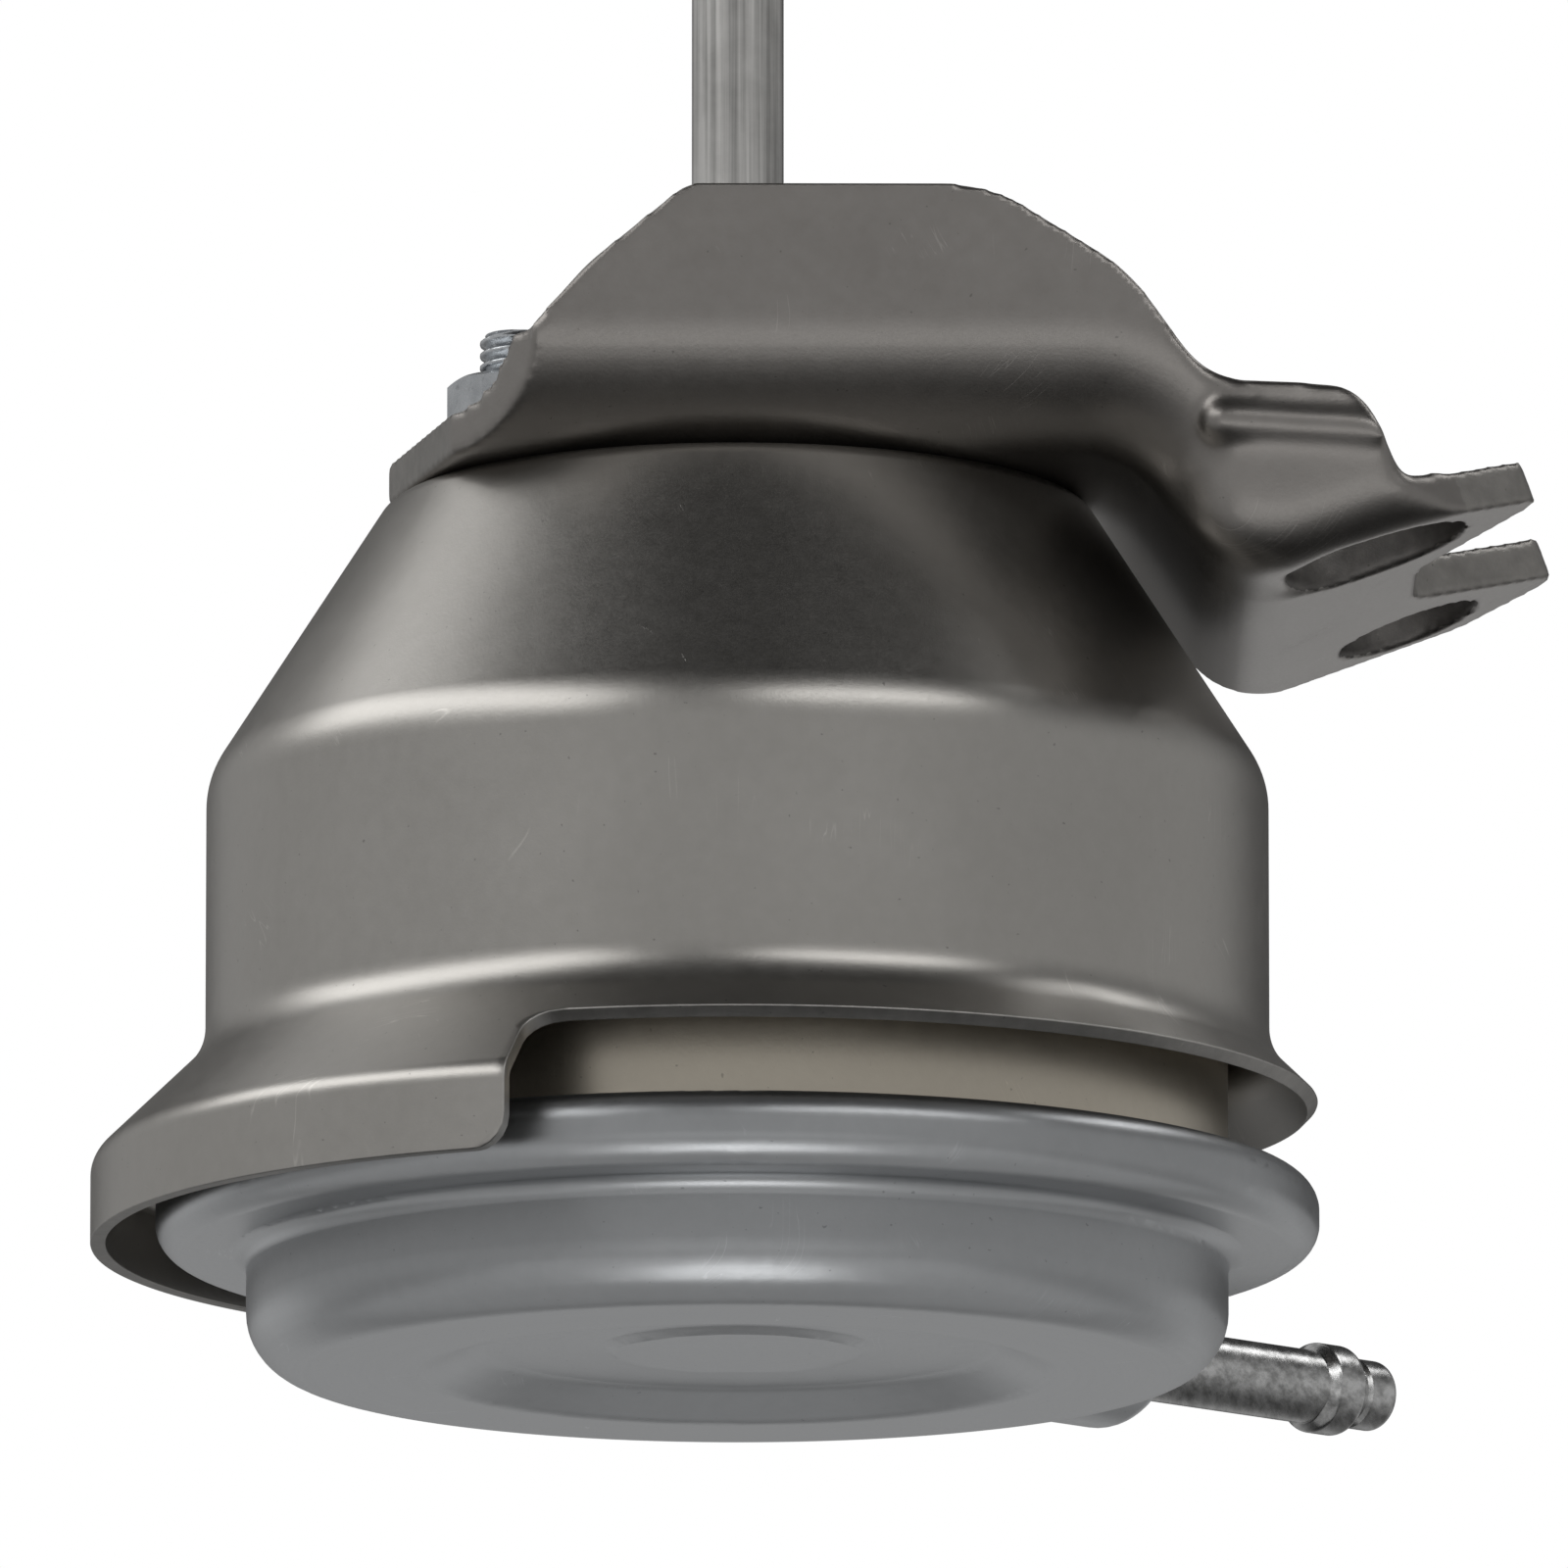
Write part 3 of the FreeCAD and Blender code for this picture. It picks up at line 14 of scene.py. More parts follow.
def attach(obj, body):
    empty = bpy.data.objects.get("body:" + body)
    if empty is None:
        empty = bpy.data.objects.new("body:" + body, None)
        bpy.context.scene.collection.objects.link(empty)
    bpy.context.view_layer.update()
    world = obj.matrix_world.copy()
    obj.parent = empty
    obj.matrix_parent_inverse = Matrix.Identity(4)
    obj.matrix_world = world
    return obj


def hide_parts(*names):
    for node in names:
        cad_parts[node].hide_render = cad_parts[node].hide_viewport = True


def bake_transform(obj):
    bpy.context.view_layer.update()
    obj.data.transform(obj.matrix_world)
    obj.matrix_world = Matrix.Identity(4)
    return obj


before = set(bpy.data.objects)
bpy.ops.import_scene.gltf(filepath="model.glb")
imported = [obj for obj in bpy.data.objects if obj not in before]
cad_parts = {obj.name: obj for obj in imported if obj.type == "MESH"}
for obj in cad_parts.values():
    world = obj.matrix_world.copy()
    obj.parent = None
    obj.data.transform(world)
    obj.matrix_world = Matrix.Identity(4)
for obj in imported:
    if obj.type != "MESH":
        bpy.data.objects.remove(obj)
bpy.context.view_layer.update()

MM = 0.001

# Heat shield, outer surface
SHEET = 1.0
SHIELD_TOP, SHIELD_TOP_FLAT, SHIELD_TOP_RADIUS, SHIELD_TOP_ROUND = 57.2, 19.7, 22.7, 2.0
BAND_RADIUS, KNEE_HEIGHT, KNEE_ROUND = 34.5, 38.8, 6.0
NECK_HEIGHT, NECK_ROUND = 20.85, 4.3
SKIRT_RADIUS, SKIRT_SHOULDER, SKIRT_ROUND, SKIRT_EDGE = 41.9, 13.7, 2.0, 8.4
WINDOW_TOP, WINDOW_START, WINDOW_SWEEP, WINDOW_ROUND = 17.8, 249.5, 180.5, 2.2
SHIELD_HOLE, STUD_HOLE = 7.7, 2.75

# Upper can, outer surface
CAN_SHEET = 1.2
CAN_TOP, CAN_TOP_RADIUS = SHIELD_TOP - SHEET, 20.1
CAN_RADIUS, CAN_KNEE, CAN_KNEE_ROUND = 31.8, 38.2, 5.0
CAN_FLANGE_RADIUS, CAN_FLANGE_TOP, CAN_FLANGE_ROUND = 36.2, 11.4, 1.5
GUIDE_RADIUS = 7.2

# Hose nipple, along its own axis
NIPPLE_ANGLE, NIPPLE_HEIGHT = 43.0, 4.8
NIPPLE_START, NIPPLE_TIP = 29.6, 57.8
NIPPLE_RADIUS, NIPPLE_BORE, TIP_RADIUS, TIP_ROUND = 2.45, 1.5, 2.33, 0.7
BEAD_RADIUS, BEAD_WIDTH, BEAD_SLOPE, BEAD_ROUND, BEAD_SETBACK = 3.0, 3.4, 0.6, 0.6, 3.2
GROOVE_WIDTH, GROOVE_DEPTH = 0.5, 0.22

# Rod, studs and nuts
ROD_RADIUS, ROD_TOP, ROD_THREAD_FOOT, ROD_PITCH = 3.0, 112.0, 96.0, 1.0
FOOT_RADIUS, FOOT_HEIGHT, ROD_SHOULDER = 2.5, 3.2, 12.9
STUD_RADIUS, STUD_FOOT, STUD_TOP, STUD_PITCH = 2.5, 55.0, 67.0, 0.8
STUD_PLACE = (14.2, 8.0)
SMALL_FLATS, SMALL_NUT_REST, SMALL_NUT_HEIGHT = 8.0, 60.0, 4.0
LOCK_FLATS, LOCK_NUT_REST, LOCK_NUT_HEIGHT = 10.0, 99.0, 5.0
THREAD_SHARE, FLANK_RISE, FLANK_START = 0.61, 2.7, 0.35
CHAMFER, NUT_SIDES, NUT_RING, NUT_CHAMFER_ANGLE = 0.4, 6, 0.96, 30.0
SEAM_REACH = 1e-4

# Bracket: where its flange ends, its leg and ear begin, and where the ear's holes are
FLANGE_BACK, ROLL_BACK = -22.0, -17.0
LEG_START, EAR_START, EAR_ANGLE = 24.0, 34.5, 20.0
HOLE_PLACE, SLOT_PLACE, HOLE_REACH = (43.5, 13.2), (40.9, -16.6), 6.8

# Bracket: its bead and the roll from flange to ear, each as limits along X, Y and Z
BEAD_ZONE = ((28, 30.5, 40.0, 42.0), (-30, -28, -24.0, -23.2), (51, 54, 62.0, 63.2))
ROLL_ZONE = ((25, 30, 37, 46), (-30, -28, -18, -13), (40, 42, 53, 57))
BRACKET_MESH, SMOOTHING, DRAWN_PASSES, EDGE_PASSES, BEAD_SOFTNESS = 0.34, 0.5, 240, 3, 0.08
CREASE_START, CREASE_END, CREASE_LEAN = (-12.3, 66.3), (14.5, 74.0), 0.03

# Bracket: its three finishes (pressed face, cut edge, and hole walls painted dark as shade), and how
# little a cut face looks the way its pressed face does
PRESSED_FACE, CUT_EDGE, SHADED_HOLE_SIDE = range(3)
HOLE_FACING, FLANGE_FACING, FLANGE_LIFT = 0.7, 0.35, -0.3
EAR_FACING, BASE_FACING, LEG_SIDE_FACING = 0.5, 0.4, 0.6

# Finish of sheet edges and roundings
SHEARED_EDGE, EDGE_STEPS, SHEARED_ANGLE = 0.1, 2, 50.0
SMOOTH_ANGLE, COPY_SMOOTH_ANGLE, GROWN_SMOOTH_ANGLE = 35.0, 30.0, 40.0
ROUND_STEPS, CORNER_STEPS = 10, 5
SKIRT_COLUMNS, WINDOW_COLUMNS = 180, 180
CENTRE_HOLE_POINTS, STUD_HOLE_POINTS = 96, 48
TURN_POINTS = 128
THREAD_COLUMNS, NUT_COLUMNS = 48, 96
STUD_ROWS, ROD_THREAD_ROWS = 182, 192

# Camera and floor. Distances, heights and reaches of these and of the lights are in metres
LOOK_UP, CAMERA_DISTANCE, BOX_DISTANCE, FAR_BOX_DISTANCE = 10.4, 1.592, 0.9, 2.0
TARGET = Vector((3.02 * MM, 0, 38.9 * MM))
SENSOR_WIDTH, LENS, NEAREST, FARTHEST = 36, 562.5, 0.05, 20
FLOOR_HEIGHT, FLOOR_REACH, FLOOR_GLOW, FLOOR_ROUGHNESS, FLOOR_CLOUDS = -0.75, 6.0, 0.45, 0.8, 400.0
WHITE, FLOOR_WHITE, FLOOR_GREY = (1, 1, 1, 1), (0.84, 0.84, 0.84, 1), (0.80, 0.80, 0.80, 1)


def arc(before, corner, after, radius, steps=ROUND_STEPS):
    """Points of the rounding of one corner of a path."""
    corner, before, after = Vector(corner), Vector(before), Vector(after)
    inward, outward = (before - corner).normalized(), (after - corner).normalized()
    half = inward.angle(outward) / 2
    reach = radius / math.tan(half)
    centre = corner + (inward + outward).normalized() * (radius / math.sin(half))
    start, end = corner + inward * reach - centre, corner + outward * reach - centre
    sweep = start.angle(end)
    points = []
    for step in range(steps + 1):
        share = step / steps
        blend = start * math.sin((1 - share) * sweep) + end * math.sin(share * sweep)
        points.append(centre + blend / math.sin(sweep))
    return points


def rounded_path(corners):
    """Points of a path. Each corner is (across, along) or (across, along, rounding)."""
    points = []
    for i, corner in enumerate(corners):
        if len(corner) == 3:
            before, after = corners[i - 1], corners[(i + 1) % len(corners)]
            points += arc(before[:2], corner[:2], after[:2], corner[2])
        else:
            points.append(Vector(corner))
    return points


def on_circle(radius, degrees, height):
    """A place round the rod's axis."""
    turn = math.radians(degrees)
    return Vector((radius * math.cos(turn), radius * math.sin(turn), height))


def piece_from(bm, name, finishes, smooth_angle=SMOOTH_ANGLE):
    """Makes a mesh object in metres from a bmesh in millimetres, smooth with sharp edges kept."""
    bm.transform(Matrix.Scale(MM, 4))
    mesh = bpy.data.meshes.new(name)
    bm.to_mesh(mesh)
    bm.free()
    for finish in finishes:
        mesh.materials.append(finish)
    mesh.polygons.foreach_set("use_smooth", [True] * len(mesh.polygons))
    mesh.set_sharp_from_angle(angle=math.radians(smooth_angle))
    piece = bpy.data.objects.new(name, mesh)
    bpy.context.scene.collection.objects.link(piece)
    return piece


def add_modifier(piece, kind, name, **settings):
    """Adds a modifier with its settings."""
    modifier = piece.modifiers.new(name, kind)
    for key, setting in settings.items():
        setattr(modifier, key, setting)
    return modifier


def bake_shape(piece):
    """Turns the piece's modifiers into a plain mesh."""
    depsgraph = bpy.context.evaluated_depsgraph_get()
    baked = bpy.data.meshes.new_from_object(piece.evaluated_get(depsgraph))
    piece.modifiers.clear()
    rough = piece.data
    piece.data = baked
    baked.name = piece.name
    bpy.data.meshes.remove(rough)
    return piece


def place_piece(piece, body, node):
    """Lets a finished piece stand for its CAD node."""
    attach(piece, body)
    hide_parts(node)


def quads_between(bm, row, following):
    """Fills the strip between two rows of vertices."""
    for a, b, c, d in zip(row, row[1:], following[1:], following):
        corners = []
        for vertex in (a, b, c, d):
            if vertex not in corners:
                corners.append(vertex)
        if len(corners) > 2:
            bm.faces.new(corners)


def turned(name, section, finish, turn_to=None):
    """A closed section of (radius, height) points turned about Z."""
    bm = bmesh.new()
    rings = []
    for radius, height in section:
        if radius < SEAM_REACH:
            ring = [bm.verts.new((0, 0, height))] * TURN_POINTS
        else:
            turns = [360 * step / TURN_POINTS for step in range(TURN_POINTS)]
            ring = [bm.verts.new(on_circle(radius, turn, height)) for turn in turns]
        rings.append(ring + ring[:1])
    for ring, following in zip(rings, rings[1:] + rings[:1]):
        quads_between(bm, ring, following)
    bmesh.ops.recalc_face_normals(bm, faces=bm.faces)
    if turn_to:
        bm.transform(turn_to)
    return piece_from(bm, name, [finish])


def refined_copy(node, name, *finishes):
    """The CAD piece with its loose triangles merged."""
    bm = bmesh.new()
    bm.from_mesh(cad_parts[node].data)
    bmesh.ops.remove_doubles(bm, verts=bm.verts, dist=MM * MM)
    bm.transform(Matrix.Scale(1 / MM, 4))
    for face in bm.faces:
        face.material_index = 0
    piece = piece_from(bm, name, finishes, COPY_SMOOTH_ANGLE)
    add_modifier(piece, "WEIGHTED_NORMAL", "flat_faces", keep_sharp=True)
    return bake_shape(piece)


def lengths_along(path):
    """How far each point lies from the path's start, along the path."""
    lengths = [0.0]
    for before, after in zip(path, path[1:]):
        lengths.append(lengths[-1] + (after - before).length)
    return lengths


def point_at(path, lengths, length):
    """The path's point at a length from its start."""
    for i in range(1, len(path)):
        if length <= lengths[i] or i == len(path) - 1:
            share = (length - lengths[i - 1]) / (lengths[i] - lengths[i - 1])
            return path[i - 1].lerp(path[i], share)


def ring_of_edges(bm, place, radius, height, count):
    """A ring of edges round a hole of the flat top."""
    middle = Vector((*place, 0))
    ring = [bm.verts.new(middle + on_circle(radius, 360 * s / count, height)) for s in range(count)]
    return [bm.edges.new((a, b)) for a, b in zip(ring, ring[1:] + ring[:1])]


def pressed_shell(name, finishes, path, sheet, centre_hole, window=None):
    """A shell pressed from sheet, its outer surface a path of (radius, height) turned about Z.

    The path starts at the rim of the flat top, which has a centre hole and two stud holes. The
    window is (height, first azimuth, sweep, corner rounding) and takes the skirt away below its height.
    """
    bm = bmesh.new()
    lengths = lengths_along(path)
    lower = []
    skirt_start, skirt_sweep, reach = 0.0, 360.0 * SKIRT_COLUMNS / (SKIRT_COLUMNS + WINDOW_COLUMNS), 0.0
    upper = list(path)
    if window:
        height, window_start, window_sweep, rounding = window
        skirt_start, skirt_sweep = window_start + window_sweep, 360 - window_sweep
        under = next(i for i, point in enumerate(path) if point.y < height)
        share = (path[under - 1].y - height) / (path[under - 1].y - path[under].y)
        edge = lengths[under - 1] + share * (lengths[under] - lengths[under - 1])
        upper = path[:under] + [point_at(path, lengths, edge)]
        reach = rounding
        for step in range(1, CORNER_STEPS + 1):
            bend = math.radians(90 * step / CORNER_STEPS)
            lower.append((edge + rounding * (1 - math.cos(bend)), rounding * (1 - math.sin(bend))))
        foot = lengths[-1] - rounding
        lower += [(length, 0.0) for length in lengths if edge + rounding < length < foot]
        for step in range(CORNER_STEPS + 1):
            bend = math.radians(90 * step / CORNER_STEPS)
            lower.append((foot + rounding * math.sin(bend), rounding * (math.cos(bend) - 1)))

    def skirt_angles(radius, spread):
        """Azimuths of the skirt's columns, with its sides moved out by a spread."""
        wider = math.degrees(spread / radius)
        start, sweep = skirt_start - wider, skirt_sweep + 2 * wider
        return [start + sweep * column / SKIRT_COLUMNS for column in range(SKIRT_COLUMNS + 1)]

    skirt_columns = skirt_angles(upper[-1].x, reach)
    gap = skirt_columns[0] + 360 - skirt_columns[-1]
    window_columns = [skirt_columns[-1] + gap * step / WINDOW_COLUMNS for step in range(1, WINDOW_COLUMNS)]
    rows = []
    for radius, level in upper:
        row = [bm.verts.new(on_circle(radius, angle, level)) for angle in skirt_columns + window_columns]
        rows.append(row + row[:1])
    for row, following in zip(rows, rows[1:]):
        quads_between(bm, row, following)
    last = rows[-1][:SKIRT_COLUMNS + 1]
    for length, spread in lower:
        radius, level = point_at(path, lengths, length)
        row = [bm.verts.new(on_circle(radius, angle, level)) for angle in skirt_angles(radius, spread)]
        quads_between(bm, last, row)
        last = row

    top = [bm.edges.get(pair) for pair in zip(rows[0], rows[0][1:])]
    top += ring_of_edges(bm, (0, 0), centre_hole, path[0].y, CENTRE_HOLE_POINTS)
    for side in (1, -1):
        place = side * STUD_PLACE[0], side * STUD_PLACE[1]
        top += ring_of_edges(bm, place, STUD_HOLE, path[0].y, STUD_HOLE_POINTS)
    bmesh.ops.triangle_fill(bm, use_beauty=True, use_dissolve=False, edges=top)
    bmesh.ops.recalc_face_normals(bm, faces=bm.faces)
    highest = max(bm.faces, key=lambda face: face.calc_center_median().z)
    if highest.normal.z < 0:
        bmesh.ops.reverse_faces(bm, faces=bm.faces)
    piece = piece_from(bm, name, finishes)
    add_modifier(piece, "SOLIDIFY", "sheet", thickness=sheet * MM, offset=-1, use_even_offset=True,
                 material_offset_rim=1)
    add_modifier(piece, "BEVEL", "sheared_edges", width=SHEARED_EDGE * MM, segments=EDGE_STEPS,
                 limit_method="ANGLE", angle_limit=math.radians(SHEARED_ANGLE), use_clamp_overlap=False,
                 material=1)
    bake_shape(piece)
    piece.data.polygons.foreach_set("use_smooth", [True] * len(piece.data.polygons))
    add_modifier(piece, "WEIGHTED_NORMAL", "flat_faces", keep_sharp=True)
    return bake_shape(piece)


def shield_pressing(*finishes):
    """Heat shield: cone, band and flared skirt, with a long window in the skirt."""
    path = rounded_path([
        (SHIELD_TOP_FLAT, SHIELD_TOP),
        (SHIELD_TOP_RADIUS, SHIELD_TOP, SHIELD_TOP_ROUND),
        (BAND_RADIUS, KNEE_HEIGHT, KNEE_ROUND),
        (BAND_RADIUS, NECK_HEIGHT, NECK_ROUND),
        (SKIRT_RADIUS, SKIRT_SHOULDER, SKIRT_ROUND),
        (SKIRT_RADIUS, SKIRT_EDGE),
    ])
    window = WINDOW_TOP, WINDOW_START, WINDOW_SWEEP, WINDOW_ROUND
    return pressed_shell("shield_pressing", finishes, path, SHEET, SHIELD_HOLE, window)


def can_pressing(*finishes):
    """Upper can: flat top, cone, straight wall and the flange that the rim is crimped over."""
    path = rounded_path([
        (CAN_TOP_RADIUS, CAN_TOP),
        (CAN_RADIUS, CAN_KNEE, CAN_KNEE_ROUND),
        (CAN_RADIUS, CAN_FLANGE_TOP, CAN_FLANGE_ROUND),
        (CAN_FLANGE_RADIUS, CAN_FLANGE_TOP),
    ])
    return pressed_shell("can_pressing", finishes, path, CAN_SHEET, GUIDE_RADIUS)


def nipple_tube(finish):
    """Hose nipple: a turned tube with a bead and a fine groove before its tip."""
    bead_end = NIPPLE_TIP - BEAD_SETBACK
    bead_start = bead_end - BEAD_WIDTH
    groove = bead_end + GROOVE_DEPTH
    section = rounded_path([
        (NIPPLE_BORE, NIPPLE_START),
        (NIPPLE_RADIUS, NIPPLE_START),
        (NIPPLE_RADIUS, bead_start, BEAD_ROUND / 2),
        (BEAD_RADIUS, bead_start + BEAD_SLOPE, BEAD_ROUND),
        (BEAD_RADIUS, bead_end - BEAD_SLOPE, BEAD_ROUND),
        (TIP_RADIUS - GROOVE_DEPTH, groove),
        (TIP_RADIUS - GROOVE_DEPTH, groove + GROOVE_WIDTH / 2),
        (TIP_RADIUS, groove + GROOVE_WIDTH),
        (TIP_RADIUS, NIPPLE_TIP, TIP_ROUND),
        (NIPPLE_BORE, NIPPLE_TIP),
    ])
    outward = on_circle(1, NIPPLE_ANGLE, 0).to_track_quat("Z", "Y").to_matrix().to_4x4()
    return turned("nipple_tube", section, finish, Matrix.Translation((0, 0, NIPPLE_HEIGHT)) @ outward)


def add_node(tree, kind, inputs=(), **settings):
    """Adds a node. Each input is a number, a colour or the output of another node."""
    node = tree.nodes.new(kind)
    for key, setting in settings.items():
        setattr(node, key, setting)
    for key, given in dict(inputs).items():
        if isinstance(given, bpy.types.NodeSocket):
            tree.links.new(given, node.inputs[key])
        else:
            node.inputs[key].default_value = given
    return node


def calc(tree, operation, *values, clamp=False):
    """One arithmetic step of a node tree."""
    node = add_node(tree, "ShaderNodeMath", dict(enumerate(values)), operation=operation, use_clamp=clamp)
    return node.outputs[0]


def parts_of(tree, vector):
    """X, Y and Z of a vector."""
    return add_node(tree, "ShaderNodeSeparateXYZ", {0: vector}).outputs


def joined(tree, across, along, up):
    """A vector from its X, Y and Z."""
    return add_node(tree, "ShaderNodeCombineXYZ", {0: across, 1: along, 2: up}).outputs[0]


def vector_step(tree, operation, first, second):
    """One step with a vector and a number, or with two vectors."""
    key = "Scale" if operation == "SCALE" else 1
    return add_node(tree, "ShaderNodeVectorMath", {0: first, key: second}, operation=operation).outputs[0]


def open_tree(name, sizes):
    """A Geometry Nodes tree with named inputs. Sizes are in millimetres."""
    tree = bpy.data.node_groups.new(name, "GeometryNodeTree")
    kinds = {"Material": "NodeSocketMaterial", "Count": "NodeSocketInt", "Rows": "NodeSocketInt",
             "Columns": "NodeSocketInt", "Place": "NodeSocketVector"}
    for label in sizes + ("Place", "Count", "Columns", "Material"):
        tree.interface.new_socket(label, in_out="INPUT", socket_type=kinds.get(label, "NodeSocketFloat"))
    tree.interface.new_socket("Geometry", in_out="OUTPUT", socket_type="NodeSocketGeometry")
    return tree, tree.nodes.new("NodeGroupInput").outputs


def wrapped_grid(tree, given, rows, radius, height, turn):
    """Rolls a grid into a body of rotation whose radius and height may follow the turn."""
    around = calc(tree, "MULTIPLY", turn, math.tau)
    place = joined(tree, calc(tree, "MULTIPLY", radius, calc(tree, "COSINE", around)),
                   calc(tree, "MULTIPLY", radius, calc(tree, "SINE", around)), height)
    grid = add_node(tree, "GeometryNodeMeshGrid", {
        "Size X": 1.0, "Size Y": 1.0,
        "Vertices X": calc(tree, "ADD", given["Columns"], 1.0), "Vertices Y": rows})
    rolled = add_node(tree, "GeometryNodeSetPosition", {
        "Geometry": grid.outputs["Mesh"], "Position": place})
    closed = add_node(tree, "GeometryNodeMergeByDistance", {
        "Geometry": rolled.outputs[0], "Distance": SEAM_REACH})
    return closed.outputs[0]


def close_tree(tree, given, shape):
    """Sets the shape on each place in line, and ends with real geometry and a material."""
    line = add_node(tree, "GeometryNodeMeshLine", {
        "Count": given["Count"], "Start Location": given["Place"],
        "Offset": vector_step(tree, "SCALE", given["Place"], -1.0)}, mode="END_POINTS")
    spread = add_node(tree, "GeometryNodeInstanceOnPoints", {"Points": line.outputs[0], "Instance": shape})
    real = add_node(tree, "GeometryNodeRealizeInstances", {0: spread.outputs[0]})
    small = add_node(tree, "GeometryNodeTransform", {"Geometry": real.outputs[0], "Scale": (MM, MM, MM)})
    coated = add_node(tree, "GeometryNodeSetMaterial", {
        "Geometry": small.outputs[0], "Material": given["Material"]})
    out = tree.nodes.new("NodeGroupOutput")
    tree.links.new(coated.outputs[0], out.inputs[0])
    return tree


def grid_places(tree):
    """Row share and turn share of a grid's points, both from 0 to 1."""
    across, along, _ = parts_of(tree, add_node(tree, "GeometryNodeInputPosition").outputs[0])
    return calc(tree, "ADD", along, 0.5), calc(tree, "ADD", across, 0.5)


def threaded_bar_tree():
    """A threaded bar with chamfered ends, repeated on its places.

    The grid's first and last rows close the ends on the axis, and the next ones are their rims.
    """
    tree, given = open_tree("threaded_bar", ("Radius", "Foot", "Top", "Pitch", "Depth", "Chamfer", "Rows"))
    along, turn = grid_places(tree)
    inner_rows = calc(tree, "SUBTRACT", given["Rows"], 3.0)
    row = calc(tree, "MULTIPLY", along, calc(tree, "SUBTRACT", given["Rows"], 1.0))
    inner_row = calc(tree, "SUBTRACT", calc(tree, "ROUND", row), 1.0)
    share = calc(tree, "DIVIDE", inner_row, inner_rows, clamp=True)
    length = calc(tree, "SUBTRACT", given["Top"], given["Foot"])
    height = calc(tree, "ADD", given["Foot"], calc(tree, "MULTIPLY", share, length))
    wound = calc(tree, "SUBTRACT", calc(tree, "DIVIDE", height, given["Pitch"]), turn)
    flank = calc(tree, "ABSOLUTE", calc(tree, "SUBTRACT", calc(tree, "FRACT", wound), 0.5))
    valley = calc(tree, "MULTIPLY_ADD", flank, FLANK_RISE, -FLANK_START, clamp=True)
    ridge = calc(tree, "SUBTRACT", given["Radius"], calc(tree, "MULTIPLY", valley, given["Depth"]))
    to_end = calc(tree, "MINIMUM", calc(tree, "SUBTRACT", given["Top"], height),
                  calc(tree, "SUBTRACT", height, given["Foot"]))
    rounded = calc(tree, "SUBTRACT", given["Radius"], calc(tree, "SUBTRACT", given["Chamfer"], to_end))
    radius = calc(tree, "MINIMUM", ridge, rounded)
    inside = calc(tree, "MULTIPLY", calc(tree, "GREATER_THAN", row, 0.5),
                  calc(tree, "LESS_THAN", row, calc(tree, "SUBTRACT", given["Rows"], 1.5)))
    bar = wrapped_grid(tree, given, given["Rows"], calc(tree, "MULTIPLY", radius, inside), height, turn)
    return close_tree(tree, given, bar)


def hex_nut_tree():
    """A hexagon nut with chamfered corners and a countersunk bore, repeated on its places."""
    tree, given = open_tree("hexagon_nut", ("Bore", "Flats", "Rest", "Height", "Chamfer"))
    along, turn = grid_places(tree)
    side = calc(tree, "SUBTRACT", calc(tree, "FRACT", calc(tree, "MULTIPLY", turn, NUT_SIDES)), 0.5)
    flat = calc(tree, "MULTIPLY", given["Flats"], 0.5)
    off_middle = calc(tree, "MULTIPLY", side, math.tau / NUT_SIDES)
    reach = calc(tree, "DIVIDE", flat, calc(tree, "COSINE", off_middle))
    ring = calc(tree, "MULTIPLY", flat, NUT_RING)
    slope = math.tan(math.radians(NUT_CHAMFER_ANGLE))
    drop = calc(tree, "MULTIPLY", calc(tree, "SUBTRACT", reach, ring), slope)
    mouth = calc(tree, "ADD", given["Bore"], given["Chamfer"])
    top = calc(tree, "ADD", given["Rest"], given["Height"])
    low_mouth = calc(tree, "ADD", given["Rest"], given["Chamfer"])
    high_mouth = calc(tree, "SUBTRACT", top, given["Chamfer"])
    rows = (
        (given["Bore"], low_mouth), (mouth, given["Rest"]), (ring, given["Rest"]),
        (reach, calc(tree, "ADD", given["Rest"], drop)), (reach, calc(tree, "SUBTRACT", top, drop)),
        (ring, top), (mouth, top), (given["Bore"], high_mouth), (given["Bore"], low_mouth),
    )
    row = calc(tree, "ROUND", calc(tree, "MULTIPLY", along, len(rows) - 1.0))
    picks = []
    for part in (0, 1):
        pick = add_node(tree, "GeometryNodeIndexSwitch", data_type="FLOAT")
        while len(pick.index_switch_items) < len(rows):
            pick.index_switch_items.new()
        tree.links.new(row, pick.inputs["Index"])
        for level, pair in enumerate(rows):
            tree.links.new(pair[part], pick.inputs[1 + level])
        picks.append(pick.outputs[0])
    nut = wrapped_grid(tree, given, len(rows), picks[0], picks[1], turn)
    return close_tree(tree, given, nut)


def grown(name, tree, finish, **sizes):
    """A plain mesh piece from a Geometry Nodes tree and its sizes."""
    piece = bpy.data.objects.new(name, bpy.data.meshes.new(name))
    bpy.context.scene.collection.objects.link(piece)
    modifier = piece.modifiers.new(tree.name, "NODES")
    modifier.node_group = tree
    for item in tree.interface.items_tree:
        if item.in_out == "INPUT":
            modifier[item.identifier] = finish if item.name == "Material" else sizes[item.name]
    bake_shape(piece)
    bm = bmesh.new()
    bm.from_mesh(piece.data)
    bmesh.ops.recalc_face_normals(bm, faces=bm.faces)
    bm.to_mesh(piece.data)
    bm.free()
    piece.data.polygons.foreach_set("use_smooth", [True] * len(piece.data.polygons))
    piece.data.set_sharp_from_angle(angle=math.radians(GROWN_SMOOTH_ANGLE))
    return piece


# Finishes


